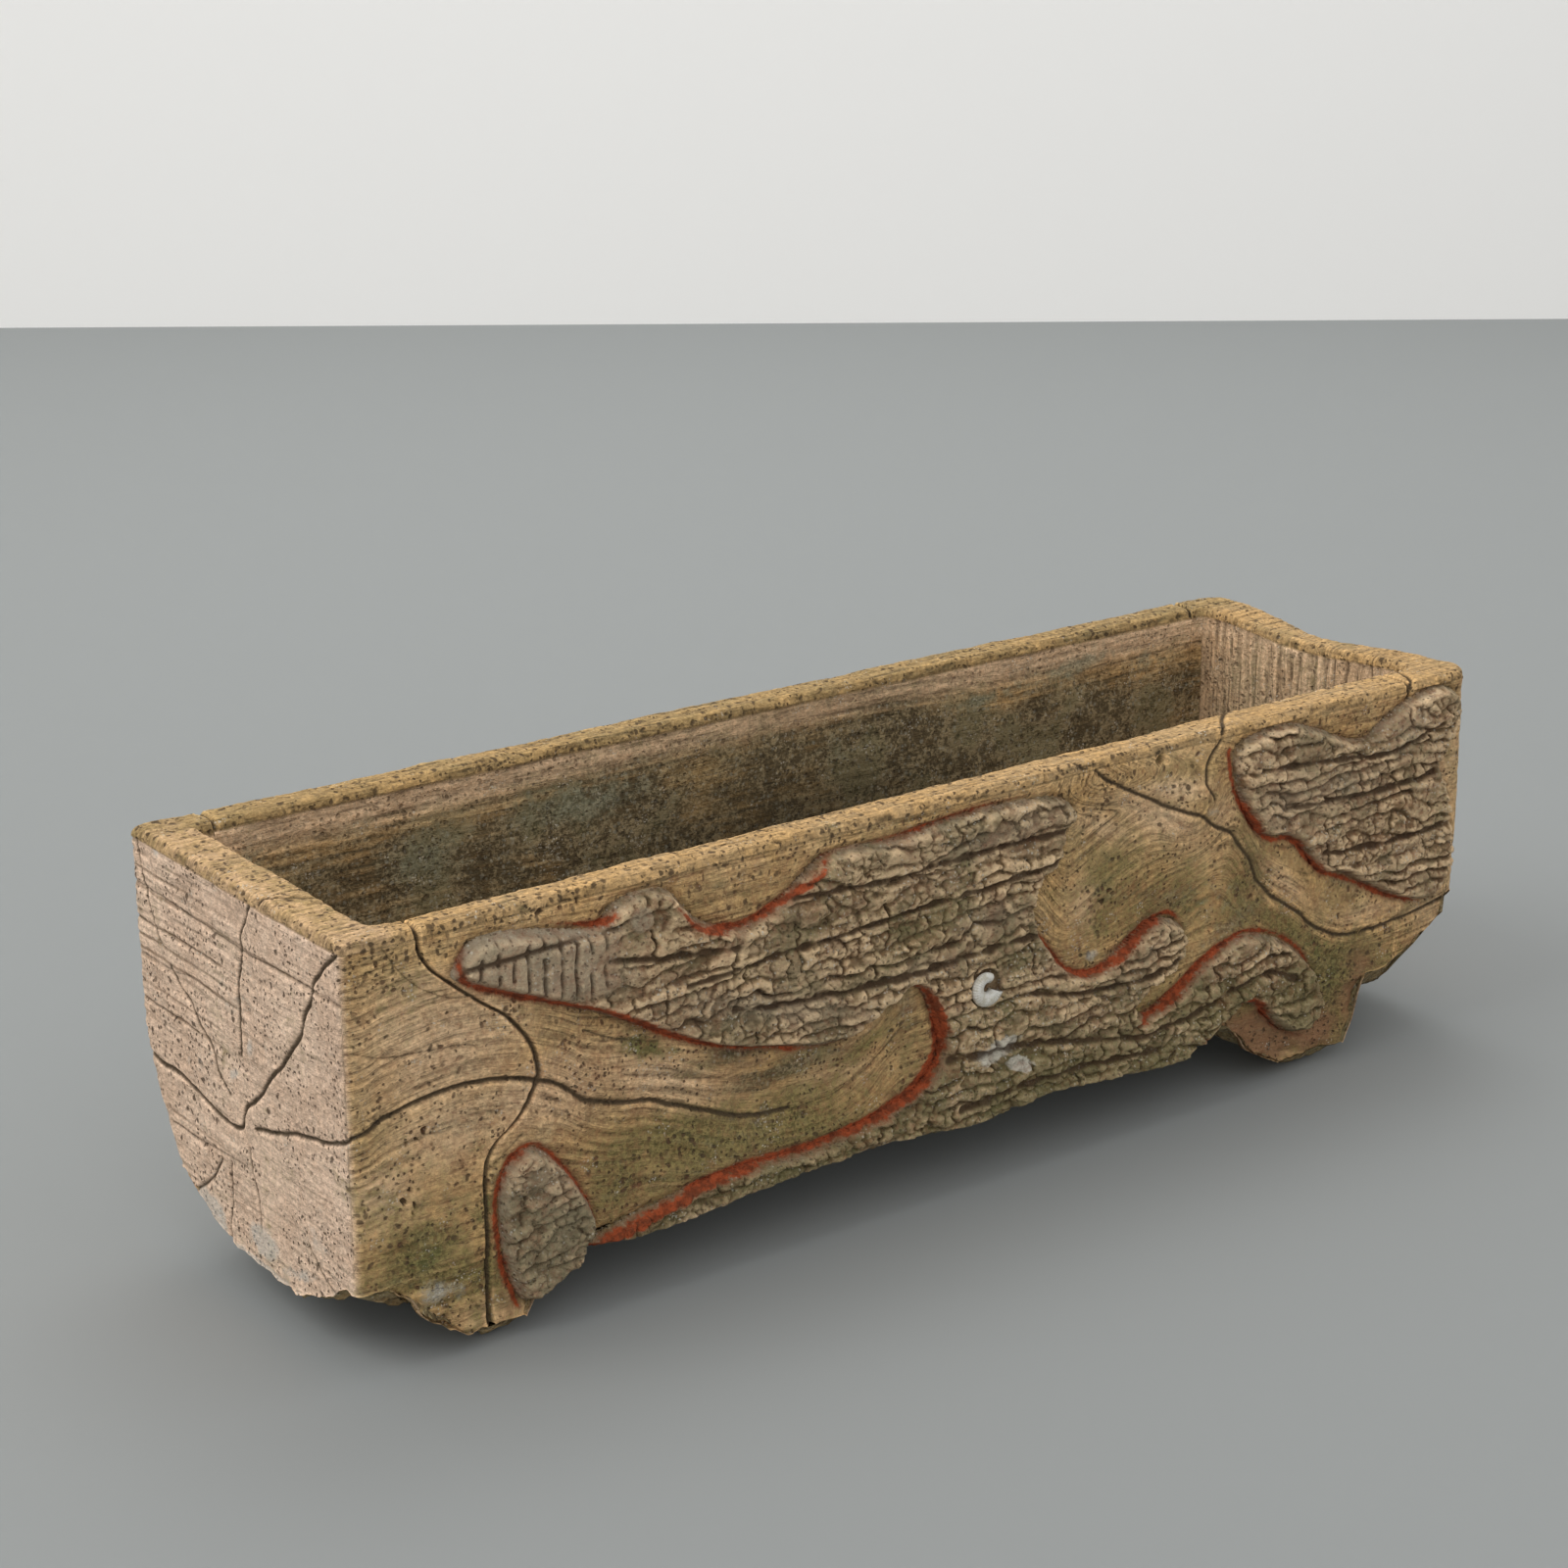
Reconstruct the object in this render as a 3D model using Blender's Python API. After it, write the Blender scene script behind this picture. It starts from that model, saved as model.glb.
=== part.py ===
"""Faux bois planter: a log-shaped trough of cement on four root feet, with cement bark laid on it.

Run it with: blender --background --python part.py
Metres, +Z up. X runs along the trough, -Y is the show face, and the origin is on the ground under
the middle of the planter. Four walls stand round three floor slabs, laid end to end on a ledge at
their foot. Steel rods lie in the cement and tie the pieces together.
"""

import math

import bmesh
import bpy
from mathutils import Vector

# Overall size; the depth is measured over the bark on both faces
LENGTH = 1.012
DEPTH = 0.314
HEIGHT = 0.300

# Clearance between pieces that touch
GAP = 0.0003

# Walls
BARK_RELIEF = 0.010
FRONT_WALL_LEFT = 0.026
FRONT_WALL_RIGHT = 0.038
BACK_WALL = 0.031
LEFT_WALL = 0.0375 * LENGTH
RIGHT_WALL = 0.0415 * LENGTH
LEFT_CORNER = 0.008
RIGHT_CORNER = 0.020
INNER_CORNER = 0.008
RIM_ROUND = 0.008
HEM_EASE = 0.006

# The back wall leans in towards its foot, by this much at the ground and from this height down
BACK_LEAN = 0.27 * DEPTH
BACK_LEAN_TOP = 0.567 * HEIGHT
BACK_LEAN_POWER = 1.5

# A shallow flute runs down the middle of the right end, where its rim also dips
FLUTE_DEPTH = 0.012
FLUTE_WIDTH = 0.045
RIM_DIP = 0.006

# Floor slabs and the ledge that carries them
FLOOR_UNDER = 0.15 * HEIGHT
FLOOR_THICK = 0.035
LEDGE = 0.0198 * LENGTH
LEDGE_THICK = 0.014
DRAIN_RADIUS = 0.0125

# Root feet, from the wall's face inwards
FOOT_SETBACK = 0.001
TOE_RUN = 0.012
TOE_LIFT = 0.012
HEEL_RUN = 0.006
HEEL_LIFT = 0.008
FOOT_REACH = 0.034
FOOT_HEAD = 0.187 * HEIGHT
FOOT_SHOULDER = 0.006
FOOT_STEP = 0.003

# Steel rods
STIRRUP_ROD = 0.003
STIRRUP_BEND = 0.012
STIRRUP_COVER = 0.0135
STIRRUP_BELOW_HOOP = 0.029
HOOP_ROD = 0.004
HOOP_BEND = 0.020
HOOP_DOWN = 0.036
FLOOR_ROD = 0.003
FLOOR_ROD_COVER = 0.0105
FLOOR_ROD_DOWEL = 0.018

# Bark edges, and the long furrows in the bark, which taper to their ends
BARK_EDGE = 0.003
BARK_DROP = 0.004
FURROW_WIDTH = 0.008
FURROW_DEPTH = 0.0045
FURROW_TAPER = 0.3

# Snail shell, seated in a round pocket in the bark
SHELL_START = 0.003
SHELL_END = 0.0078
SHELL_THIN = 0.0012
SHELL_FAT = 0.0042
SHELL_HALF_THICK = 0.0035
POCKET_RADIUS = 0.014
POCKET_DEPTH = 0.0075

# Shading and mitre limits, sides of round shapes and steps along the walls
SMOOTH_BELOW = math.radians(40)
MITRE_LIMIT = math.radians(60)
ROD_SIDES = 8
HOLE_SIDES = 16
BEND_STEPS = 4
FACE_ROWS = 12
ROUND_STEPS = 3
CORNER_STEPS = 3
FRONT_STEPS = 24
END_STEPS = 10
RETURN_STEPS = 3
SPLINE_STEPS = 2

# Underside of the walls: place along the side and height, as shares of LENGTH and HEIGHT
FRONT_HEM_SHARES = (
    (0.0, 0.19), (0.025, 0.167), (0.055, 0.157), (0.17, 0.15), (0.22, 0.143), (0.30, 0.16),
    (0.37, 0.173), (0.43, 0.175), (0.50, 0.153), (0.55, 0.167), (0.66, 0.153), (0.70, 0.147),
    (0.73, 0.173), (0.80, 0.173), (0.913, 0.193), (0.932, 0.21), (0.95, 0.243), (0.968, 0.273),
    (0.987, 0.328), (1.0, 0.36),
)
BACK_HEM_SHARES = ((0.0, 0.19), (0.06, 0.15), (0.30, 0.14), (0.60, 0.15), (0.92, 0.17), (1.0, 0.26))

# The same under the two ends, from the front corner to the back corner as shares of the depth there
LEFT_HEM_SHARES = (
    (0.0, 0.19), (0.13, 0.133), (0.22, 0.108), (0.31, 0.087), (0.40, 0.08), (0.72, 0.08), (0.85, 0.11),
    (0.93, 0.15), (1.0, 0.19),
)
RIGHT_HEM_SHARES = (
    (0.0, 0.36), (0.10, 0.26), (0.20, 0.18), (0.33, 0.14), (0.50, 0.12), (0.75, 0.12), (0.90, 0.18),
    (1.0, 0.26),
)

# Joints between walls and ends, as shares of LENGTH along and of HEIGHT up, from the rim down
FRONT_LEFT_JOINT_SHARES = (
    (0.054, 1.0), (0.056, 0.94), (0.064, 0.893), (0.082, 0.84), (0.10, 0.79), (0.117, 0.75),
    (0.13, 0.697), (0.137, 0.652), (0.14, 0.597), (0.137, 0.57), (0.13, 0.527), (0.12, 0.497),
    (0.107, 0.473), (0.099, 0.433), (0.097, 0.387), (0.097, 0.0),
)
FRONT_RIGHT_JOINT_SHARES = ((0.928, 1.0), (0.928, 0.0))
BACK_LEFT_JOINT_SHARES = ((0.050, 1.0), (0.054, 0.7), (0.069, 0.3), (0.069, 0.0))
BACK_RIGHT_JOINT_SHARES = ((0.948, 1.0), (0.944, 0.7), (0.928, 0.3), (0.928, 0.0))

# Feet seen from the front, as shares of LENGTH along and of HEIGHT up
LEFT_FOOT_SHARES = (
    (0.0247, 0.157), (0.048, 0.10), (0.065, 0.06), (0.082, 0.03), (0.093, 0.0), (0.118, 0.0),
    (0.124, 0.037), (0.14, 0.09), (0.157, 0.117), (0.171, 0.153),
)
RIGHT_FOOT_SHARES = (
    (0.719, 0.165), (0.735, 0.162), (0.754, 0.123), (0.772, 0.087), (0.79, 0.05), (0.808, 0.02),
    (0.82, 0.0), (0.865, 0.0), (0.875, 0.043), (0.882, 0.087), (0.886, 0.13), (0.895, 0.167),
)

# Bark outlines seen from the front, as shares of LENGTH along and of HEIGHT up
MAIN_BARK_SHARES = (
    (0.081, 0.887), (0.098, 0.937), (0.133, 0.927), (0.181, 0.893), (0.196, 0.933), (0.215, 0.95),
    (0.239, 0.937), (0.259, 0.86), (0.293, 0.81), (0.328, 0.847), (0.369, 0.927), (0.423, 0.923),
    (0.494, 0.94), (0.566, 0.927), (0.587, 0.873), (0.575, 0.82), (0.572, 0.757), (0.553, 0.723),
    (0.549, 0.643), (0.565, 0.543), (0.584, 0.477), (0.61, 0.453), (0.637, 0.493), (0.67, 0.537),
    (0.696, 0.497), (0.691, 0.41), (0.662, 0.367), (0.649, 0.317), (0.665, 0.30), (0.694, 0.347),
    (0.727, 0.403), (0.764, 0.427), (0.803, 0.377), (0.831, 0.287), (0.844, 0.173), (0.83, 0.12),
    (0.805, 0.14), (0.776, 0.227), (0.753, 0.243), (0.727, 0.193), (0.694, 0.143), (0.642, 0.153),
    (0.583, 0.17), (0.547, 0.167), (0.494, 0.153), (0.425, 0.175), (0.366, 0.173), (0.296, 0.16),
    (0.227, 0.143), (0.171, 0.163), (0.212, 0.20), (0.277, 0.23), (0.346, 0.223), (0.399, 0.243),
    (0.447, 0.29), (0.467, 0.363), (0.461, 0.46), (0.444, 0.553), (0.406, 0.503), (0.375, 0.47),
    (0.331, 0.50), (0.289, 0.533), (0.246, 0.593), (0.188, 0.697), (0.133, 0.777), (0.084, 0.853),
)
FOOT_BARK_SHARES = (
    (0.133, 0.427), (0.153, 0.37), (0.168, 0.29), (0.176, 0.21), (0.161, 0.123), (0.13, 0.077),
    (0.117, 0.11), (0.108, 0.227), (0.107, 0.347), (0.116, 0.417),
)
UPPER_BARK_SHARES = (
    (0.743, 0.907), (0.756, 0.95), (0.796, 0.963), (0.826, 0.933), (0.874, 0.872), (0.906, 0.92),
    (0.947, 0.963), (0.975, 0.947), (0.981, 0.877), (0.971, 0.803), (0.964, 0.743), (0.975, 0.63),
    (0.981, 0.477), (0.966, 0.393), (0.936, 0.397), (0.895, 0.463), (0.859, 0.533), (0.84, 0.543),
    (0.818, 0.623), (0.798, 0.673), (0.773, 0.693), (0.754, 0.787),
)
BACK_LONG_SHARES = (
    (0.17, 0.72), (0.20, 0.80), (0.26, 0.84), (0.31, 0.93), (0.36, 0.95), (0.42, 0.90), (0.50, 0.92),
    (0.56, 0.86), (0.60, 0.76), (0.55, 0.66), (0.47, 0.62), (0.40, 0.59), (0.33, 0.63), (0.26, 0.60),
    (0.20, 0.65),
)
BACK_SHORT_SHARES = (
    (0.70, 0.80), (0.74, 0.90), (0.80, 0.94), (0.86, 0.88), (0.90, 0.80), (0.91, 0.68), (0.86, 0.60),
    (0.79, 0.59), (0.73, 0.66),
)

# Long furrows between the layers of the bark, from left to right
MAIN_FURROW_SHARES = (
    ((0.12, 0.887), (0.164, 0.84), (0.204, 0.813), (0.253, 0.787), (0.288, 0.777)),
    ((0.337, 0.853), (0.421, 0.84), (0.50, 0.847), (0.592, 0.84)),
    ((0.248, 0.717), (0.302, 0.727), (0.381, 0.74), (0.47, 0.753), (0.592, 0.773)),
    ((0.287, 0.627), (0.352, 0.603), (0.441, 0.59), (0.52, 0.603), (0.554, 0.597)),
    ((0.535, 0.467), (0.589, 0.42), (0.648, 0.407), (0.688, 0.427)),
    ((0.47, 0.35), (0.549, 0.323), (0.619, 0.275), (0.66, 0.255), (0.72, 0.28), (0.777, 0.32), (0.815, 0.27)),
    ((0.48, 0.215), (0.575, 0.225), (0.67, 0.205)),
)
UPPER_FURROW_SHARES = (
    ((0.765, 0.87), (0.85, 0.845), (0.905, 0.83), (0.96, 0.87)),
    ((0.79, 0.75), (0.88, 0.735), (0.955, 0.74)),
    ((0.835, 0.60), (0.91, 0.585), (0.965, 0.59)),
)
BACK_LONG_FURROW_SHARES = (
    ((0.33, 0.87), (0.42, 0.85), (0.50, 0.87)),
    ((0.22, 0.76), (0.31, 0.78), (0.40, 0.77), (0.50, 0.80), (0.56, 0.79)),
    ((0.24, 0.68), (0.33, 0.70), (0.42, 0.68), (0.52, 0.71)),
)
BACK_SHORT_FURROW_SHARES = (
    ((0.74, 0.83), (0.80, 0.85), (0.87, 0.83)),
    ((0.73, 0.73), (0.80, 0.74), (0.89, 0.72)),
)

# Snail shell: its middle on the front face, and the turn it makes
SHELL_PLACE_SHARES = (0.502, 0.507)
SHELL_TURN = math.radians(300)
SHELL_OPENING = math.radians(20)
SHELL_STEPS = 12

# Rods across the floor and, between them, joints with a drain hole, as shares of the floor's own size
STIRRUP_PLACE_SHARES = (0.17, 0.335, 0.50, 0.665, 0.83)
FLOOR_ROD_SHARES = (0.30, 0.70)
DRAIN_SHARES = (0.25, 0.75)
DRAIN_ACROSS_SHARE = 0.50

# Colours, roughness and metallic value
CEMENT = ("wood_cement", (0.52, 0.35, 0.19), 0.9, 0.0)
BARK = ("bark_cement", (0.33, 0.28, 0.21), 0.95, 0.0)
STEEL = ("steel_rod", (0.26, 0.20, 0.16), 0.6, 0.9)
SHELL = ("snail_shell", (0.78, 0.75, 0.68), 0.5, 0.0)

LEFT_X = -LENGTH / 2
RIGHT_X = LENGTH / 2
FRONT_Y = BARK_RELIEF - DEPTH / 2
BACK_Y = DEPTH / 2 - BARK_RELIEF
FLOOR_TOP = FLOOR_UNDER + FLOOR_THICK
LEDGE_TOP = FLOOR_UNDER - GAP
LEDGE_BOTTOM = LEDGE_TOP - LEDGE_THICK
STIRRUP_TOP = HEIGHT - HOOP_DOWN - STIRRUP_BELOW_HOOP
LEFT_INNER_X = LEFT_X + LEFT_WALL
RIGHT_INNER_X = RIGHT_X - RIGHT_WALL


def table(shares, place):
    """The value of a table of (place, value) shares at a place, by straight lines."""
    for (low, first), (high, second) in zip(shares, shares[1:]):
        if place <= high:
            return first + (second - first) * max(0, place - low) / (high - low)
    return shares[-1][1]


def joint_x(shares, z):
    """Where a joint between two walls runs at height z."""
    flipped = [(height, along) for along, height in reversed(shares)]
    return LEFT_X + LENGTH * table(flipped, z / HEIGHT)


def back_lean(z):
    """How far the back wall has moved in at height z."""
    return BACK_LEAN * max(0, 1 - z / BACK_LEAN_TOP) ** BACK_LEAN_POWER


def flute(y, z):
    """How far the right end's face is hollowed at a place, fading towards the foot."""
    across = math.exp(-((y / FLUTE_WIDTH) ** 2))
    return FLUTE_DEPTH * across * min(1, max(0, z / HEIGHT))


def front_wall_thickness(x):
    """The front wall gets thicker from left to right."""
    along = (x - LEFT_X) / LENGTH
    return FRONT_WALL_LEFT + (FRONT_WALL_RIGHT - FRONT_WALL_LEFT) * along


def front_y(x, depth):
    """The front wall's outer face (depth None), or its inner face moved in by depth."""
    if depth is None:
        return FRONT_Y
    return FRONT_Y + front_wall_thickness(x) + depth


def back_y(z, depth):
    """The back wall's outer face (depth None), or its inner face moved in by depth."""
    if depth is None:
        return BACK_Y - back_lean(z)
    return BACK_Y - BACK_WALL - back_lean(z) - depth


def end_x(side, depth):
    """The left (-1) or right (1) end's outer face (depth None), or its inner face moved in by depth."""
    if depth is None:
        return LEFT_X if side < 0 else RIGHT_X
    return LEFT_INNER_X + depth if side < 0 else RIGHT_INNER_X - depth


class Station:
    """One place round the walls: a function gives its plan point, and it knows its hem and its rim."""

    def __init__(self, place, hem, rim=HEIGHT):
        self.place = place
        self.hem = hem
        self.rim = rim

    def outer(self, z):
        return Vector((*self.place(z, None), z))

    def inner(self, z, depth=0):
        return Vector((*self.place(z, depth), z))

    def between(self, z, run):
        """A point at a distance in from the outer face, towards the inner one."""
        start = self.outer(z)
        towards = self.inner(z) - start
        return start + towards.normalized() * run

    def profile(self):
        """The wall's section as a closed ring: outer face, rim, inner face, ledge and underside."""
        low = self.hem + HEM_EASE
        high = self.rim - RIM_ROUND
        heights = [low + (high - low) * row / FACE_ROWS for row in range(FACE_ROWS + 1)]
        turns = [math.pi / 2 * step / ROUND_STEPS for step in range(1, ROUND_STEPS + 1)]
        ring = [self.outer(z) for z in heights]
        for turn in turns:
            point = self.between(self.rim, RIM_ROUND * (1 - math.cos(turn)))
            point.z = high + RIM_ROUND * math.sin(turn)
            ring.append(point)
        wall = (self.inner(self.rim) - self.outer(self.rim)).length
        for turn in reversed(turns):
            point = self.between(self.rim, wall - RIM_ROUND * (1 - math.cos(turn)))
            point.z = high + RIM_ROUND * math.sin(turn)
            ring.append(point)
        for row in range(FACE_ROWS + 1):
            ring.append(self.inner(high + (FLOOR_TOP - high) * row / FACE_ROWS))
        ring.append(self.inner(LEDGE_TOP))
        ring.append(self.inner(LEDGE_TOP, LEDGE))
        ring.append(self.inner(LEDGE_BOTTOM, LEDGE))
        ring.append(self.inner(LEDGE_BOTTOM))
        ring.append(self.between(self.hem, HEM_EASE))
        return ring


def front_station(place):
    """A station on the front, at an x that may depend on the height and on the depth in the wall."""
    def at(z, depth):
        x = place(z, depth)
        return (x, front_y(x, depth))
    hem = HEIGHT * table(FRONT_HEM_SHARES, (place(0, None) - LEFT_X) / LENGTH)
    return Station(at, hem)


def back_station(place):
    """A station on the back, at an x that may depend on the height and on the depth in the wall."""
    def at(z, depth):
        return (place(z, depth), back_y(z, depth))
    hem = HEIGHT * table(BACK_HEM_SHARES, (place(0, None) - LEFT_X) / LENGTH)
    return Station(at, hem)


def end_station(side, share):
    """A station on an end: side is -1 for the left and 1 for the right, share runs front to back."""
    def at(z, depth):
        x = end_x(side, depth)
        radius = corner_radius(side, depth)
        front = front_y(x, depth) + radius
        back = back_y(z, depth) - radius
        y = front + (back - front) * share
        if depth is None and side > 0:
            x -= flute(y, z)
        return (x, y)
    shares = LEFT_HEM_SHARES if side < 0 else RIGHT_HEM_SHARES
    rim = HEIGHT
    if side > 0:
        rim -= RIM_DIP * math.sin(math.pi * share) ** 2
    return Station(at, HEIGHT * table(shares, share), rim)


def corner_radius(side, depth):
    """The plan radius of an outer or inner corner."""
    if depth is not None:
        return INNER_CORNER
    return LEFT_CORNER if side < 0 else RIGHT_CORNER


def corner_station(side, face, turn):
    """A station on a corner's round: face is -1 at the front, turn goes from the face to the end."""
    def at(z, depth):
        radius = corner_radius(side, depth)
        x = end_x(side, depth)
        y = front_y(x, depth) if face < 0 else back_y(z, depth)
        centre_x = x - side * radius
        centre_y = y - face * radius
        return (centre_x + side * radius * math.sin(turn), centre_y + face * radius * math.cos(turn))
    shares = FRONT_HEM_SHARES if face < 0 else BACK_HEM_SHARES
    return Station(at, HEIGHT * shares[0 if side < 0 else -1][1])


def corner_stations(side, face):
    """The stations round one corner, from the long face to the end."""
    turns = [math.pi / 2 * step / CORNER_STEPS for step in range(CORNER_STEPS + 1)]
    return [corner_station(side, face, turn) for turn in turns]


def return_stations(side, face, shares):
    """The stations of an end piece from its joint to the nearby corner, without the corner's own."""
    make = front_station if face < 0 else back_station
    found = []
    for step in range(RETURN_STEPS):
        share = step / RETURN_STEPS
        def place(z, depth, share=share):
            corner = end_x(side, depth) - side * corner_radius(side, depth)
            start = joint_x(shares, z) + side * GAP / 2
            return start + (corner - start) * share
        found.append(make(place))
    return found


def end_ring(side, front_joint, back_joint):
    """All the stations of an end piece, from its front joint round to its back joint."""
    straight = [end_station(side, step / END_STEPS) for step in range(1, END_STEPS)]
    front = return_stations(side, -1, front_joint) + corner_stations(side, -1)
    back = return_stations(side, 1, back_joint) + corner_stations(side, 1)
    return front + straight + back[::-1]


def long_ring(make, left_joint, right_joint):
    """All the stations of a long wall, from its left joint to its right joint."""
    found = []
    for step in range(FRONT_STEPS + 1):
        share = step / FRONT_STEPS
        def place(z, depth, share=share):
            start = joint_x(left_joint, z) + GAP / 2
            end = joint_x(right_joint, z) - GAP / 2
            return start + (end - start) * share
        found.append(make(place))
    return found


def mesh_of_rings(rings):
    """A tube through rings of equal count, open at its ends, and its rows of vertices."""
    bm = bmesh.new()
    rows = [[bm.verts.new(point) for point in ring] for ring in rings]
    count = len(rows[0])
    for first, second in zip(rows, rows[1:]):
        for index in range(count):
            after = (index + 1) % count
            bm.faces.new((first[index], first[after], second[after], second[index]))
    return bm, rows


def close_wall_end(bm, ring):
    """Covers a wall's end: strips between its two faces, with the rim and the foot as their own faces."""
    inner_top = FACE_ROWS + 2 * ROUND_STEPS + 1
    for row in range(FACE_ROWS):
        outer_low = ring[row]
        outer_high = ring[row + 1]
        inner_high = ring[inner_top + FACE_ROWS - row - 1]
        inner_low = ring[inner_top + FACE_ROWS - row]
        bm.faces.new((outer_low, outer_high, inner_high))
        bm.faces.new((outer_low, inner_high, inner_low))
    bm.faces.new(ring[FACE_ROWS:inner_top + 1])
    bm.faces.new(ring[inner_top + FACE_ROWS:] + ring[:1])


def material(finish):
    """A plain Principled material, made once for each finish."""
    name, colour, roughness, metallic = finish
    found = bpy.data.materials.get(name)
    if found is None:
        found = bpy.data.materials.new(name)
        found.use_nodes = True
        shader = found.node_tree.nodes["Principled BSDF"]
        shader.inputs["Base Color"].default_value = (*colour, 1)
        shader.inputs["Roughness"].default_value = roughness
        shader.inputs["Metallic"].default_value = metallic
    return found


def add_object(name, bm, finish=CEMENT):
    """Turns a bmesh into a named object with its faces pointing out."""
    bmesh.ops.recalc_face_normals(bm, faces=bm.faces)
    bmesh.ops.triangulate(bm, faces=bm.faces, quad_method="FIXED")
    mesh = bpy.data.meshes.new(name)
    bm.to_mesh(mesh)
    bm.free()
    obj = bpy.data.objects.new(name, mesh)
    bpy.context.scene.collection.objects.link(obj)
    obj.data.materials.append(material(finish))
    return obj


def add_cutter(name, bm):
    """A helper shape that is neither rendered nor built."""
    obj = add_object(name, bm)
    obj.hide_render = True
    obj.display_type = "WIRE"
    return obj


def boolean(target, helper, operation="DIFFERENCE"):
    """Cuts a helper from a piece, or joins it to the piece."""
    modifier = target.modifiers.new(helper.name, "BOOLEAN")
    modifier.object = helper
    modifier.operation = operation


def wall(name, stations):
    """One wall or end piece, through all its stations."""
    bm, rows = mesh_of_rings([station.profile() for station in stations])
    close_wall_end(bm, rows[0])
    close_wall_end(bm, rows[-1])
    return add_object(name, bm)


def closed_tube(rings):
    """A closed mesh through rings of equal count, with a flat face over each end."""
    bm, rows = mesh_of_rings(rings)
    bm.faces.new(rows[0])
    bm.faces.new(rows[-1])
    return bm


def round_points(radius):
    """The points of a circle round the origin."""
    turns = [2 * math.pi * step / HOLE_SIDES for step in range(HOLE_SIDES)]
    return [(radius * math.cos(turn), radius * math.sin(turn)) for turn in turns]


def tube(path, radius, closed=False, normal=Vector((0, 0, 1))):
    """A rod along a flat path, mitred at each point; normal is the path's own plane."""
    bm = bmesh.new()
    count = len(path)
    rows = []
    for index, point in enumerate(path):
        before = path[index - 1] if closed or index else point
        after = path[(index + 1) % count] if closed or index < count - 1 else point
        arriving = (point - before).normalized() if point != before else (after - point).normalized()
        leaving = (after - point).normalized() if point != after else arriving
        along = (arriving + leaving).normalized()
        side = along.cross(normal).normalized()
        mitre = 1 / max(along.dot(arriving), math.cos(MITRE_LIMIT))
        row = []
        for step in range(ROD_SIDES):
            turn = 2 * math.pi * (step + 1 / 2) / ROD_SIDES
            offset = side * math.cos(turn) * radius * mitre + normal * math.sin(turn) * radius
            row.append(bm.verts.new(point + offset))
        rows.append(row)
    pairs = list(zip(rows, rows[1:]))
    if closed:
        pairs.append((rows[-1], rows[0]))
    for first, second in pairs:
        for step in range(ROD_SIDES):
            after = (step + 1) % ROD_SIDES
            bm.faces.new((first[step], first[after], second[after], second[step]))
    if not closed:
        bm.faces.new(rows[0])
        bm.faces.new(rows[-1])
    return bm


def rod_and_bores(name, path, radius, carriers, closed=False, normal=Vector((0, 0, 1)), past=0):
    """A steel rod, and its bore with a clearance in each piece that it passes through."""
    rod = add_object(name, tube(path, radius, closed, normal), STEEL)
    rod.data.shade_smooth()
    rod.data.set_sharp_from_angle(angle=SMOOTH_BELOW)
    longer = list(path)
    if past:
        longer[0] = path[0] + (path[0] - path[1]).normalized() * past
        longer[-1] = path[-1] + (path[-1] - path[-2]).normalized() * past
    bore = add_cutter(name + "_bore", tube(longer, radius + GAP, closed, normal))
    for carrier in carriers:
        boolean(carrier, bore)


def wall_middle(z):
    """The middle of the back wall's thickness at height z."""
    return BACK_Y - BACK_WALL / 2 - back_lean(z)


def stirrup_path(x):
    """Down the front wall, across the floor slab and up the leaning back wall."""
    floor_z = FLOOR_TOP - STIRRUP_COVER
    front = FRONT_Y + FRONT_WALL_LEFT / 2
    path = [Vector((x, front, STIRRUP_TOP))]
    for step in range(BEND_STEPS + 1):
        turn = math.pi / 2 * step / BEND_STEPS
        y = front + STIRRUP_BEND * (1 - math.cos(turn))
        z = floor_z + STIRRUP_BEND * (1 - math.sin(turn))
        path.append(Vector((x, y, z)))
    path.append(Vector((x, wall_middle(floor_z) - STIRRUP_BEND, floor_z)))
    low = floor_z + STIRRUP_BEND
    for step in range(2 * BEND_STEPS + 1):
        z = low + (BACK_LEAN_TOP - low) * step / (2 * BEND_STEPS)
        path.append(Vector((x, wall_middle(z), z)))
    path.append(Vector((x, wall_middle(STIRRUP_TOP), STIRRUP_TOP)))
    return path


def hoop_path():
    """A rounded rectangle in the middle of the four walls, just under the rim."""
    z = HEIGHT - HOOP_DOWN
    left = LEFT_X + LEFT_WALL / 2
    right = RIGHT_X - (RIGHT_WALL + FLUTE_DEPTH) / 2
    front = FRONT_Y + FRONT_WALL_LEFT / 2
    back = wall_middle(z)
    path = []
    for quarter, (x, y) in enumerate(((right, back), (left, back), (left, front), (right, front))):
        centre_x = x - math.copysign(HOOP_BEND, x)
        centre_y = y - math.copysign(HOOP_BEND, y)
        for step in range(BEND_STEPS + 1):
            turn = math.pi / 2 * (quarter + step / BEND_STEPS)
            round_x = centre_x + HOOP_BEND * math.cos(turn)
            round_y = centre_y + HOOP_BEND * math.sin(turn)
            path.append(Vector((round_x, round_y, z)))
    return path


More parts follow.
